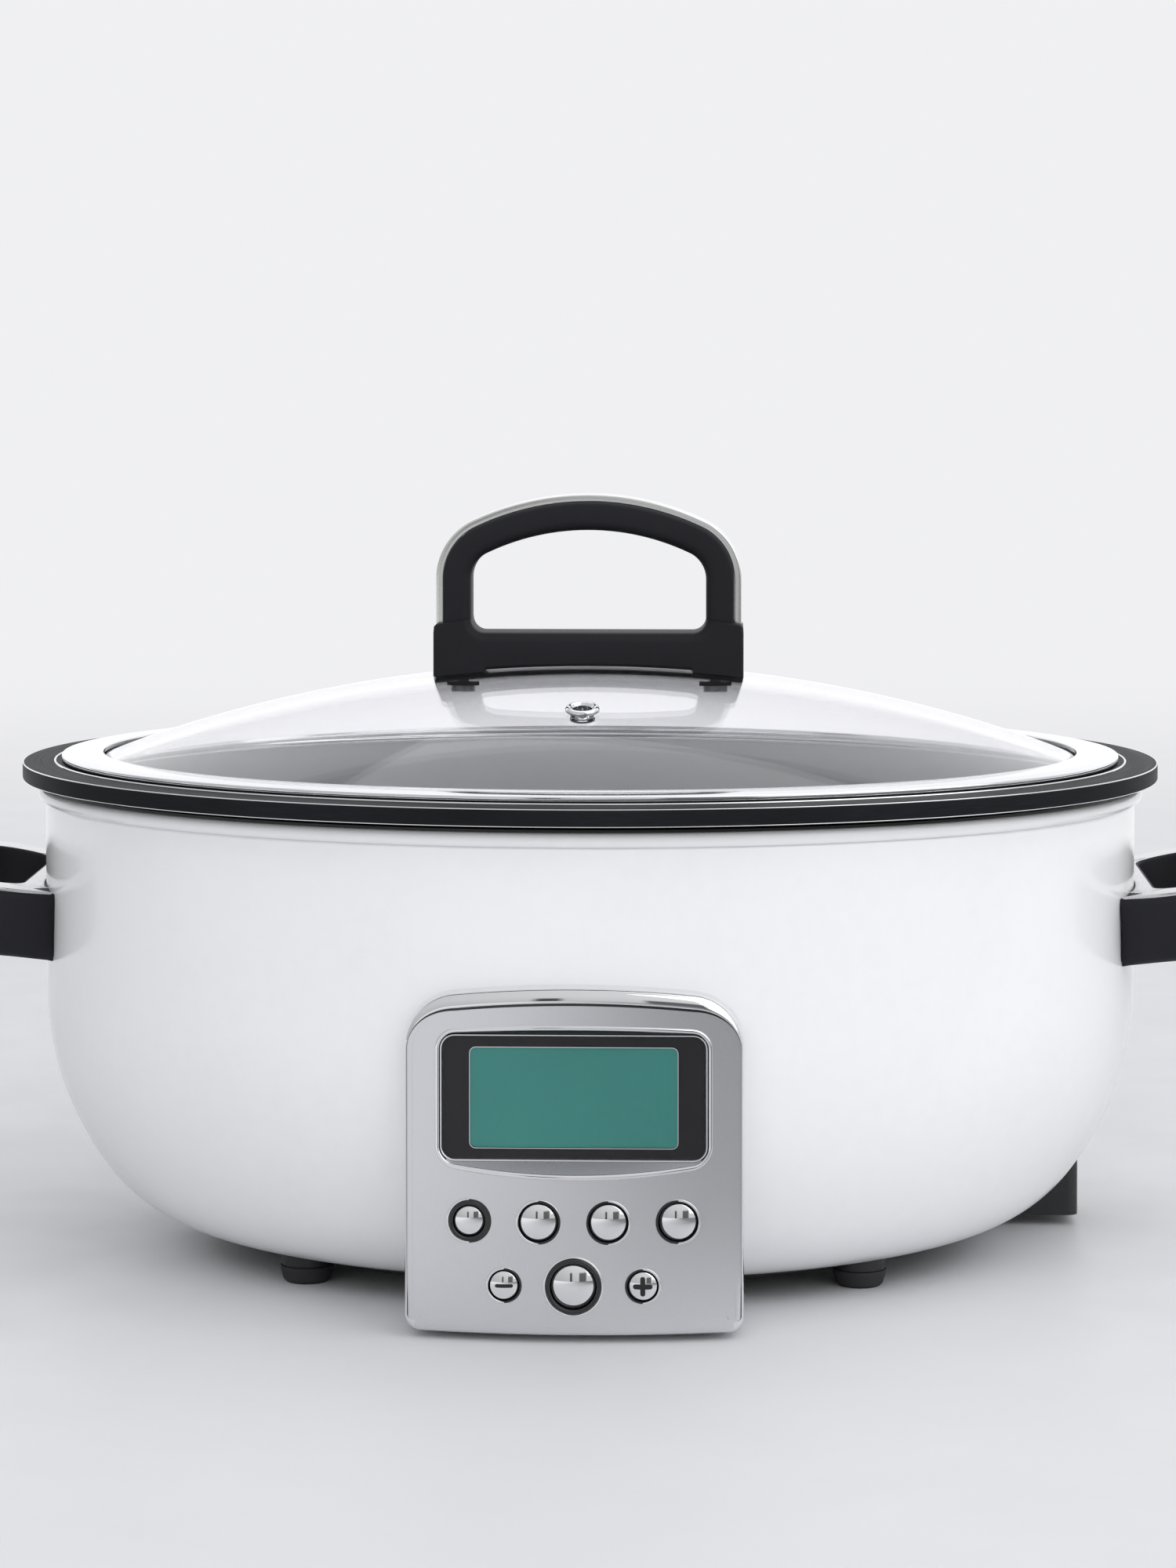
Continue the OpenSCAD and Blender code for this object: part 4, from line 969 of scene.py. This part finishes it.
@dataclass
class SideHandle:
    """One black loop handle with its steel top."""

    side: int
    name: str
    foot_x: float = 9.4
    bend: float = 7.0
    bulge: float = 1.2

    def _stations(self, inset: float) -> tuple:
        """Gives matched inner and outer points of half the loop in its own plan, from the foot outward.

        Args:
            inset: How far the outlines are drawn in.

        Returns:
            The inner and the outer points, as (x, y) with the wall at x = 0.
        """
        half = GRIP_W / 2 - inset
        along = np.array([math.cos(ARM_SPLAY), math.sin(ARM_SPLAY)])
        across = np.array([math.sin(ARM_SPLAY), -math.cos(ARM_SPLAY)])
        root = np.array([0, ARM_Y])
        centre = root + ARM_L * along + GRIP_CORNER_R * across
        near, far = root + half * across, root - half * across
        foot = self.foot_x - inset
        corner = near + (foot - near[0]) / along[0] * along
        far_start = far + (-14.0 - far[0]) / along[0] * along
        inner = line((foot, 0), (foot, corner[1] - self.bend), 10)
        outer = line((inset - 6, 0), (inset - 6, corner[1] - self.bend), 10)
        for t in np.linspace(0, 1, 9)[1:]:
            inner.append(tuple(corner + self.bend * (t**2 * along - (1 - t) ** 2 * np.array([0, 1]))))
        outer += line(outer[-1], tuple(far_start), 8)[1:]
        inner += line(inner[-1], tuple(near + ARM_L * along), 8)[1:]
        outer += line(outer[-1], tuple(far + ARM_L * along), 8)[1:]
        turn = math.degrees(ARM_SPLAY)
        inner += arc(tuple(centre), GRIP_CORNER_R - half, 90 + turn, 0, 16)[1:]
        outer += arc(tuple(centre), GRIP_CORNER_R + half, 90 + turn, 0, 16)[1:]
        inner += line(inner[-1], (inner[-1][0], 0), 8)[1:]
        outer += line(outer[-1], (outer[-1][0], 0), 8)[1:]
        return inner, outer

    def _loop(self, name: str, inset: float, low: float, high: float, radii: tuple) -> bpy.types.Object:
        """Makes a level layer of the handle, tilted and cut at the wall.

        Args:
            name: The object's name.
            inset: How far the layer is drawn in.
            low: The layer's lower height.
            high: The layer's upper height.
            radii: The corner radii of its section.

        Returns:
            The object.
        """
        inner, outer = self._stations(inset)
        inner += [(x, -y) for x, y in inner[-2:0:-1]]
        outer += [(x, -y) for x, y in outer[-2:0:-1]]
        loops = band(inner, outer, np.full(len(inner), low), np.full(len(inner), high), radii, 6)
        if high - low > GRIP_H / 2:
            reach = np.asarray(outer) - np.asarray(inner)
            way = reach / np.linalg.norm(reach, axis=1)[:, None]
            from_inner = loops[:, :, :2] - np.asarray(inner)[:, None]
            gone = np.einsum("ijk,ik->ij", from_inner, reach) / (reach**2).sum(1)[:, None]
            swell = self.bulge * gone * (1 - ((loops[:, :, 2] - low) / (high - low) * 2 - 1) ** 2)
            loops[:, :, :2] += swell[:, :, None] * way[:, None]
        x, y, z = loops[:, :, 0], loops[:, :, 1], loops[:, :, 2]
        across = BODY_A + x * math.cos(GRIP_TILT) - z * math.sin(GRIP_TILT)
        up = GRIP_Z + x * math.sin(GRIP_TILT) + z * math.cos(GRIP_TILT)
        wall = np.sqrt((BODY_A + 0.1) ** 2 - (y / BODY_SQUEEZE) ** 2)
        points = np.stack([self.side * np.maximum(across, wall), y, up], axis=2)
        return loft(name, points, crease=40)

    def build(self) -> None:
        """Makes the loop and its top trim."""
        loop = self._loop(f"{self.name}_grip", 0, -1.1, GRIP_H - 0.25, (3.5, 4.6, 3.2, 1.2))
        dress(loop, BLACK_PLASTIC, "handle_black", "base", f"side_handle_{self.name}")
        trim = self._loop(f"{self.name}_grip_top", 1.0, GRIP_H - TRIM_T, GRIP_H, (0.1, 0.1, 0.5, 0.5))
        dress(trim, TRIM_STEEL, "brushed_trim", "base", f"handle_trim_{self.name}")


@dataclass
class Panel:
    """The control panel: surround, face plate, display and push buttons."""

    side_lip: float = 0.9
    top_lip: float = 5.2
    foot_lip: float = 6.4
    foot_z: float = 2.4
    foot_r: float = 5.5
    face_in: float = 2.8
    window_w: float = 88.6
    window_h: float = 41.4
    window_r: float = 4.2
    lcd_w: float = 70.0
    lcd_h: float = 34.0
    lcd_r: float = 2.0

    def front(self, x: float, drop: float) -> float:
        """Gives y on the panel's convex front.

        Args:
            x: The place sideways.
            drop: The depth behind the front.

        Returns:
            The place along y.
        """
        return -(PANEL_REACH - PANEL_R + math.sqrt((PANEL_R - drop) ** 2 - x * x))

    def outline(self, inset: float, top: float, foot: float) -> list:
        """Gives the panel's outline: a flat foot, upright sides, round corners and an arched top.

        Args:
            inset: How far the sides are drawn in.
            top: How far the top is drawn in.
            foot: How far the foot is drawn in.

        Returns:
            The points, as (x, z).
        """
        half = PANEL_W / 2
        cx = half - PANEL_CORNER_R
        arch_z = PANEL_TOP - PANEL_ARCH_R
        cz = arch_z + math.sqrt((PANEL_ARCH_R - PANEL_CORNER_R) ** 2 - cx * cx)
        lean = math.degrees(math.atan2(cz - arch_z, cx))
        low = (half - self.foot_r, self.foot_z + self.foot_r)
        rim = [(x, self.foot_z, 0.0, -1.0) for x, _ in line((0, 0), (low[0], 0), 10)[:-1]]
        for middle, r, start, end, steps in (
            (low, self.foot_r, -90, 0, 10), ((half, 0), 0, 0, 0, 0), ((cx, cz), PANEL_CORNER_R, 0, lean, 14),
            ((0, arch_z), PANEL_ARCH_R, lean, 90, 12),
        ):
            if r == 0:
                rim += [(half, z, 1.0, 0.0) for z in np.linspace(low[1], cz, 16)[1:-1]]
                continue
            turns = np.radians(np.linspace(start, end, steps + 1))
            bend = [(*q, math.cos(t), math.sin(t)) for q, t in zip(arc(middle, r, start, end, steps), turns)]
            rim += bend[1:] if r == PANEL_ARCH_R else bend
        points = []
        for x, z, nx, nz in rim:
            ends = top if nz > 0 else foot
            deep = inset + (ends - inset) * abs(nz) ** 1.5
            points.append((x - nx * deep, z - nz * deep))
        return points + [(-x, z) for x, z in points[-2:0:-1]]

    def _low(self, z: float) -> float:
        """Gives the share of a point in the panel's soft foot.

        Args:
            z: The point's height.

        Returns:
            The share, from 1 at the foot to 0 on the upright sides.
        """
        share = min(max((self.foot_z + 17 - z) / 8, 0), 1)
        return share * share * (3 - 2 * share)

    def _skin(
        self, name: str, rows: list, outline: Callable, crease: float = 50.0, sink: float = 0.0,
    ) -> bpy.types.Object:
        """Skins rows of an outline, each at a depth behind the convex front or behind the flat window.

        Args:
            name: The object's name.
            rows: The rows, as (outline's three sizes, depth, whether the depth is from the flat window).
            outline: The outline's function.
            crease: The angle above which an edge stays sharp, in degrees.
            sink: How much deeper the rows lie at the panel's foot.

        Returns:
            The object.
        """
        loops = []
        for a, b, c, drop, flat in rows:
            base = [(x, WINDOW_Y if flat else self.front(x, FACE_DROP), z) for x, z in outline(a, b, c)]
            loops.append([(x, y + drop + sink * self._low(z), z) for x, y, z in base])
        return loft(name, np.array(loops), crease=crease)

    def _rim(self, rows: list) -> list:
        """Gives loops of the outline on the convex front, with their own depth at the soft foot.

        Args:
            rows: The rows, as (outline's three sizes, depth, depth at the foot).

        Returns:
            The loops.
        """
        loops = []
        for inset, top, foot, drop, soft in rows:
            rim = []
            for x, z in self.outline(inset, top, foot):
                rim.append((x, self.front(x, 0) + drop + (soft - drop) * self._low(z), z))
            loops.append(rim)
        return loops

    def surround(self) -> None:
        """Makes the bright surround: a rounded lip round the outline, with walls back to the body."""
        s, t, f = self.side_lip, self.top_lip, self.foot_lip
        loops = self._rim([
            (0, 0, 0, 7.0, 7.0), (0, 0, 0, 4.0, 4.2), (0.03, 0.15, 0.1, 2.9, 3.1), (0.1, 0.6, 0.5, 1.9, 2.1),
            (0.22, 1.4, 1.3, 1.1, 1.42), (0.4, 2.4, 2.5, 0.55, 1.0), (s - 0.3, t - 1.2, f - 2.4, 0.2, 0.84),
            (s - 0.15, t - 0.6, f - 1.2, 0.12, 0.82), (s - 0.05, t - 0.2, f - 0.4, 0.25, 0.82),
            (s, t, f + 0.4, 0.6, 0.85), (s, t, f + 0.6, 1.5, 1.5),
        ])
        for wide in (s + 0.2, 0.0):
            back = []
            for x, z in self.outline(wide, wide, wide):
                back.append((x, max(body_front(x, z) + 1.0, self.front(x, 0) + 7.5), z))
            loops.append(back)
        piece = loft("panel_rim", np.array(loops), crease=50)
        dress(piece, CHROME, "bright_trim", "base", "panel_surround")
        w = self.face_in
        border = self._rim([
            (s + 0.02, t, 1.2, 0.75, 1.4), (s + 0.3, t + 0.1, 1.7, 0.748, 1.17),
            (s + 0.6, t + 0.2, 2.5, 0.745, 0.95), (s + 1.0, t + 0.3, 4.0, 0.742, 0.78),
            (s + 1.4, t + 0.45, 5.3, 0.74, 0.745), (w, t + 0.6, f + 0.4, 0.74, 0.74),
            (w, t + 0.6, f + 0.4, 1.2, 1.2), (s + 0.02, t, 1.2, 1.2, 2.2),
        ])
        dress(loft("panel_face_edge", np.array(border), crease=50), SATIN, "panel_satin", "base")
        seal = [
            (s + 0.02, t - 0.12, f, -0.1, 0), (s + 0.03, t + 0.8, f + 0.2, -0.1, 0),
            (s + 0.03, t + 0.8, f + 0.2, 0.5, 0), (s + 0.02, t - 0.12, f, 0.5, 0),
        ]
        dress(self._skin("panel_seal", seal, self.outline, sink=0.35), RING_PLASTIC, "ring_black", "base")

    def window_outline(self, grow: float, top: float, foot: float) -> list:
        """Gives a rounded rectangle whose top and foot bow outward, as (x, z).

        Args:
            grow: How far the rectangle is grown.
            top: The bow of its top.
            foot: The bow of its foot.

        Returns:
            The points.
        """
        w, h = self.window_w / 2 + grow, self.window_h / 2 + grow
        r = self.window_r + grow
        points = rounded([(-w, -h), (w, -h), (w, h), (-w, h)], [r] * 4, 8)
        full = []
        for i, p in enumerate(points):
            full.append(p)
            q = points[(i + 1) % len(points)]
            if math.dist(p, q) > 12:
                full += line(p, q, 16)[1:-1]
        out = []
        for x, z in full:
            bow = top if z > 0 else foot
            share = max(0.0, 1 - (x / (w - 1)) ** 2)
            out.append((x, DISPLAY_Z + z + math.copysign(bow * share, z) * min(1, abs(z) / (h - r))))
        return out

    def display(self) -> None:
        """Makes the chrome frame, the sills that slope down to the flat window, and the inner edges."""
        frame = [
            (2.4, 1.95, 3.9, 0.3, 0), (2.4, 1.95, 3.9, -0.1, 0), (2.2, 1.93, 3.85, -0.35, 0),
            (1.9, 1.9, 3.75, -0.5, 0), (1.5, 1.85, 3.65, -0.45, 0), (1.2, 1.8, 3.5, -0.2, 0),
            (1.0, 1.75, 3.45, 0.15, 0), (0.95, 1.75, 3.45, 1.2, 0), (2.4, 1.95, 3.9, 1.2, 0),
        ]
        piece = self._skin("display_frame", frame, self.window_outline, 40)
        dress(piece, CHROME, "bright_trim", "base", "display_bezel")
        border = [
            (2.35, 1.95, 3.9, -0.04, 0), (4.4, 2.2, 4.2, -0.05, 0),
            (4.4, 2.2, 4.2, 0.4, 0), (2.35, 1.95, 3.9, 0.4, 0),
        ]
        dress(self._skin("display_border", border, self.window_outline), SATIN, "panel_satin", "base")
        edge = [
            (0.75, 0.1, 0.1, -0.1, 1), (0.6, 0, 0, -0.35, 1), (0.3, 0, 0, -0.35, 1), (0.05, 0, 0, -0.1, 1),
            (0.0, 0, 0, 0.28, 1), (0.75, 0.1, 0.1, 0.28, 1),
        ]
        dress(self._skin("display_edge", edge, self.window_outline, 40), CHROME, "bright_trim", "base")
        low = [(x, WINDOW_Y, z) for x, z in self.window_outline(0.7, 0, 0)]
        high = [(x, self.front(x, FACE_DROP) + 0.25, z) for x, z in self.window_outline(1.0, 1.75, 3.45)]
        # The brow is drawn near black: painted shade on the recess's upper slope, which faces down.
        for name, finish, slot, side in (
            ("display_brow", DARK_SHEET_AND_SHADE, "ring_black", 1), ("display_sill", SILL_PAINT, "panel_satin", -1),
        ):
            loops = []
            for p, q in zip(low, high):
                if (p[2] - DISPLAY_Z) * side > self.window_h / 2 - 0.5:
                    back = WINDOW_Y + 0.5
                    behind = (q[0], max(q[1] + 0.3, back), q[2] + 0.05 * side)
                    loops.append([p, q, behind, (p[0], back, p[2])])
            dress(loft(name, np.array(loops), ring=False, crease=40), finish, slot, "base")
        half = (self.lcd_w / 2, self.lcd_h / 2)
        loops = []
        for grow, drop in ((-0.05, 0.22), (-0.05, 0.12), (0.17, 0.12), (0.17, 0.22)):
            w, h = half[0] + grow, half[1] + grow
            flat = rounded([(-w, -h), (w, -h), (w, h), (-w, h)], [self.lcd_r + grow] * 4, 6)
            loops.append([(x, WINDOW_Y + drop, DISPLAY_Z + z) for x, z in flat])
        dress(loft("lcd_edge", np.array(loops), crease=40), CHROME, "bright_trim", "base")

    def build(self) -> None:
        """Makes the surround and the display frame."""
        self.surround()
        self.display()


@dataclass
class PushButton:
    """One push button: a light rim, a black ring and a domed chrome cap, with an optional mark."""

    body: str
    x: float
    z: float
    ring_d: float
    cap_d: float
    mark: str = ""
    rise: float = 1.0
    cap_back: float = -3.4  # clear of the switch behind it, also when pressed
    ring_back: float = -3.0
    ring_edge: float = 0.65

    def build(self, panel: Panel) -> None:
        """Makes the button's pieces.

        Args:
            panel: The panel that it sits in.
        """
        front = panel.front(self.x, FACE_DROP)
        name = self.body.split("_")[0]
        lean = math.pi / 2
        place = (self.x, front, self.z)
        r, c = self.ring_d / 2, self.cap_d / 2
        inner, outer = c + 0.3, r - self.ring_edge
        corners = [(outer, -0.6), (r + 0.15, -0.6), (r + 0.15, 0.3), (outer, 0.3)]
        rim = rounded(corners, [0.1, 0.1, 0.28, 0.28], 4)
        dress(turned(f"{name}_rim", rim, place, lean), CHROME, "bright_trim", "base")
        crown = 0.75 if outer - inner > 1 else 0.3
        ring = [(inner, self.ring_back), (outer, self.ring_back)]
        ring += arc(((inner + outer) / 2, crown * 0.4), (outer - inner) / 2, 0, 180, 10)
        dress(turned(f"{name}_ring", ring, place, lean), RING_PLASTIC, "ring_black", "base")
        dome = 2.2 * c
        edge = dome - math.sqrt(dome**2 - c * c)
        cap = [(0, self.cap_back), (c, self.cap_back)]
        cap += [(c, self.rise - edge - 0.35), (c - 0.1, self.rise - edge - 0.12)]
        cap += [(q, self.rise - dome + math.sqrt(dome**2 - q * q)) for q in np.linspace(c - 0.3, 0, 14)]
        dress(turned(f"{name}_cap", cap, place, lean), CHROME, "bright_trim", self.body, f"{name}_button")
        if self.mark:
            self._mark(name, place, dome)

    def _mark(self, name: str, place: tuple, dome: float) -> None:
        """Makes the raised minus or plus, whose bars follow the cap's dome.

        Args:
            name: The button's name.
            place: The middle of the cap.
            dome: The radius of the cap's dome.
        """
        bars = [(3.05, 0.6, 0)] if self.mark == "minus" else [(3.3, 0.85, 0), (3.3, 0.85, 1)]
        for i, (long, wide, upright) in enumerate(bars):
            along = long * np.sin(np.linspace(-math.pi / 2, math.pi / 2, 25))[:, None]
            tip = np.clip((np.abs(along) - long + wide) / wide, 0, 1)
            half = wide * np.sqrt(np.maximum(1 - tip**2, 1e-4))
            across = half * np.array([-1, 1, 1, 0.86, -0.86, -1])
            lift = np.broadcast_to([-0.4, -0.4, 0.12, 0.2, 0.2, 0.12], across.shape)
            long_way = np.broadcast_to(along, across.shape)
            u, v = (across, long_way) if upright else (long_way, across)
            cap = self.rise - dome + np.sqrt(dome**2 - u**2 - v**2)
            loops = np.stack([place[0] + u, place[1] - cap - lift - 0.01 * i, place[2] + v], axis=2)
            piece = loft(f"{name}_mark_{i}", loops, ring=False, crease=40)
            dress(piece, MARK_INK, "ring_black", self.body)


@dataclass
class Studio:
    """The floor, the lamps and the camera. Its sizes are in metres.

    Attributes:
        floor_size: The floor's length.
        wall_seen: How far behind the cooker the backdrop starts and ends to brighten, to the eye.
        wall_mirrored: The same in reflections and through the glass.
        wall_gain: How much brighter the backdrop is in them.
        table: How far in front of the cooker the table starts and ends to brighten in reflections.
        table_light: The table's light in them, at its left and at its right.
        cards: For each dark card in the surroundings, its middle, half its width and its factor.
        lens: The lens, in millimetres.
        shift: The lens's shift, sideways and up.
        eye: The camera's place.
        pitch: How far it looks down, in degrees.
        turn: How far it looks to the left, in degrees.
    """

    floor_size: float = 6.0
    wall_seen: tuple = (0.35, 2.4)
    wall_mirrored: tuple = (0.25, 0.7)
    wall_gain: float = 1.3
    table: tuple = (-0.18, -0.3)
    table_light: tuple = (0.95, 0.28)
    cards: tuple = ((0.34, 0.12, 0.2), (-0.12, 0.03, 0.12))
    lens: float = 98.13
    shift: tuple = (-0.0021, -0.2289)
    eye: tuple = (0.0525, -1.5842, 0.3507)
    pitch: float = 1.7
    turn: float = 1.87

    def build(self) -> None:
        """Makes the floor with its curved backdrop, the lamps, the surroundings and the camera."""
        self._floor()
        self._world()
        self._lamp("key", (1.6, -1.1, 1.5), (2.3, 2.3), 16)
        self._lamp("top", (0.3, 0.6, 2.3), (2.6, 1.8), 10)
        self._lamp("front", (-0.2, -2.2, 1.4), (3.6, 2.0), 20, False)
        self._camera()

    def _floor(self) -> None:
        """Makes one sheet that runs along the floor and curves up behind."""
        half = self.floor_size / 2
        path = [(-half, 0.0)] + arc((2.2, 1.2), 1.2, -90, 0, 16) + [(3.4, 4.0)]
        points, faces = [], []
        for y, z in path:
            points += [(-half * 1.6 / MM, y / MM, z / MM), (half * 1.6 / MM, y / MM, z / MM)]
        for i in range(len(path) - 1):
            faces.append((2 * i, 2 * i + 1, 2 * i + 3, 2 * i + 2))
        sheet = make_mesh("studio_floor", np.array(points), faces, 60)
        sheet.data.materials.append(self._paper())

    def _paper(self) -> bpy.types.Material:
        """Makes the floor's finish: plain by the cooker, and evenly bright far behind it.

        Returns:
            The material.
        """
        material = FLOOR.build()
        tree = material.node_tree
        shader = next(n for n in tree.nodes if n.type == "BSDF_PRINCIPLED")
        output = next(n for n in tree.nodes if n.type == "OUTPUT_MATERIAL")
        place = add_node(tree, "ShaderNodeTexCoord").outputs["Object"]
        x, y, _ = add_node(tree, "ShaderNodeSeparateXYZ", {0: place}).outputs
        ray = add_node(tree, "ShaderNodeLightPath").outputs
        far = remap(tree, y, *self.wall_seen, curve="SMOOTHSTEP")
        seen = maths(tree, "MULTIPLY", ray["Is Camera Ray"], far)
        bent = maths(tree, "MAXIMUM", ray["Is Glossy Ray"], ray["Is Transmission Ray"])
        bent = maths(tree, "MULTIPLY", bent, remap(tree, y, *self.wall_mirrored))
        gain = remap(tree, bent, 0.0, 1.0, 1.0, self.wall_gain)
        near = maths(tree, "MULTIPLY", remap(tree, y, *self.table), ray["Is Glossy Ray"])
        across = remap(tree, x, -0.2, 0.2, *self.table_light)
        both = shader.outputs[0]
        for share, colour, light in (
            (maths(tree, "MAXIMUM", seen, bent), "#F0F0F3", gain), (near, "#FCFCFF", across),
        ):
            glow = add_node(tree, "ShaderNodeEmission", {0: to_linear(colour), 1: light}).outputs[0]
            both = add_node(tree, "ShaderNodeMixShader", {0: share, 1: both, 2: glow}).outputs[0]
        tree.links.new(both, output.inputs[0])
        return material

    def _world(self) -> None:
        """Makes pale surroundings that are a little darker low down and at the sides."""
        world = bpy.data.worlds.new("studio")
        world.use_nodes = True
        tree = world.node_tree
        tree.nodes.clear()
        way = add_node(tree, "ShaderNodeTexCoord").outputs["Generated"]
        parts = add_node(tree, "ShaderNodeSeparateXYZ", {0: way}).outputs
        sides = remap(tree, parts[0], -0.9, 0.9, 0.62, 0.88)
        level = maths(tree, "MULTIPLY", sides, remap(tree, parts[2], -0.1, 0.5, 0.72))
        for card in self.cards:
            level = maths(tree, "MULTIPLY", level, self._card(tree, parts, *card))
        back = add_node(tree, "ShaderNodeBackground", {0: (0.985, 0.99, 1.0, 1), 1: level})
        add_node(tree, "ShaderNodeOutputWorld", {0: back.outputs[0]})
        bpy.context.scene.world = world

    def _card(
        self, tree: bpy.types.NodeTree, parts: bpy.types.bpy_prop_collection,
        at: float, half: float, dark: float,
    ) -> bpy.types.NodeSocket:
        """Makes a darker upright card in front of the cooker, as a factor on the surroundings' light.

        Args:
            tree: The world's node tree.
            parts: The outputs that give the direction's parts.
            at: The card's middle, as the direction's part along x.
            half: Half its width, in the same measure.
            dark: The factor on the card.

        Returns:
            The output that gives the factor, which is 1 beside the card, above it and behind the cooker.
        """
        off = maths(tree, "ABSOLUTE", maths(tree, "SUBTRACT", parts[0], at))
        wide = remap(tree, off, half, half + 0.03, 1.0, 0.0)
        tall = remap(tree, parts[2], 0.3, 0.36, 1.0, 0.0)
        front = remap(tree, parts[1], -0.3, 0.0, 1.0, 0.0)
        share = maths(tree, "MULTIPLY", maths(tree, "MULTIPLY", wide, tall), front)
        return remap(tree, share, 0.0, 1.0, 1.0, dark)

    def _lamp(self, name: str, place: tuple, size: tuple, power: float, mirrored: bool = True) -> None:
        """Makes a soft area lamp that faces the cooker.

        Args:
            name: The lamp's name.
            place: Its place.
            size: Its width and height.
            power: Its power, in watts.
            mirrored: Whether bright metal shows it.
        """
        data = bpy.data.lights.new(name, "AREA")
        data.shape = "RECTANGLE"
        data.size, data.size_y = size
        data.energy = power
        lamp = bpy.data.objects.new(name, data)
        lamp.location = place
        lamp.visible_glossy = mirrored
        lamp.rotation_euler = (Vector((0, 0, 0.12)) - Vector(place)).to_track_quat("-Z", "Y").to_euler()
        bpy.context.scene.collection.objects.link(lamp)

    def _camera(self) -> None:
        """Makes the camera: a long lens a little above the cooker, turned slightly to the left."""
        data = bpy.data.cameras.new("camera")
        data.sensor_fit = "VERTICAL"
        data.sensor_height = 36
        data.lens = self.lens
        data.shift_x, data.shift_y = self.shift
        data.clip_end = 50
        camera = bpy.data.objects.new("camera", data)
        camera.location = self.eye
        camera.rotation_euler = (math.pi / 2 - math.radians(self.pitch), 0, math.radians(self.turn))
        bpy.context.scene.collection.objects.link(camera)
        bpy.context.scene.camera = camera


def finish_cad(frame: dict) -> None:
    """Gives every CAD node that still shows the finish of its slot.

    Args:
        frame: The loaded frame.
    """
    special = {"heating_element": SHEATH}
    for subpart in frame["record"]["subparts"]:
        node = frame["nodes"].get(subpart["node"])
        if node is None or node.hide_render:
            continue
        finish = special.get(node.name, SLOT_FINISH[subpart["material_slot"]])
        for holder in node.material_slots:
            holder.material = finish.build()
        LOG.info("%s keeps its shape, in %s", node.name, finish.name)


def main() -> None:
    """Builds every piece in order."""
    logging.basicConfig(level=logging.INFO, format="%(message)s")
    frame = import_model()
    panel = Panel()
    sides = (SideHandle(1, "right"), SideHandle(-1, "left"))
    for group in (Shell(), Pot(), LidRing(), VentEyelet(), LidHandle(), *sides, panel):
        group.build()
    for group in (BasePlate(), GlassDome()):
        group.build(frame)
    for button in (
        PushButton("sear_key", -35.1, 41, 15, 10.4), PushButton("menu_key", -11.7, 41, 15, 12.8),
        PushButton("time_key", 11.7, 41, 15, 12.8), PushButton("heat_key", 35.1, 41, 15, 12.8),
        PushButton("minus_key", -23.3, 19.5, 12, 10, "minus"), PushButton("start_key", 0, 19.5, 20, 15.2),
        PushButton("plus_key", 23.3, 19.5, 12, 10, "plus"),
    ):
        button.build(panel)
    finish_cad(frame)
    Studio().build()
    bpy.context.scene.view_settings.view_transform = "Standard"


if __name__ == "__main__":
    main()
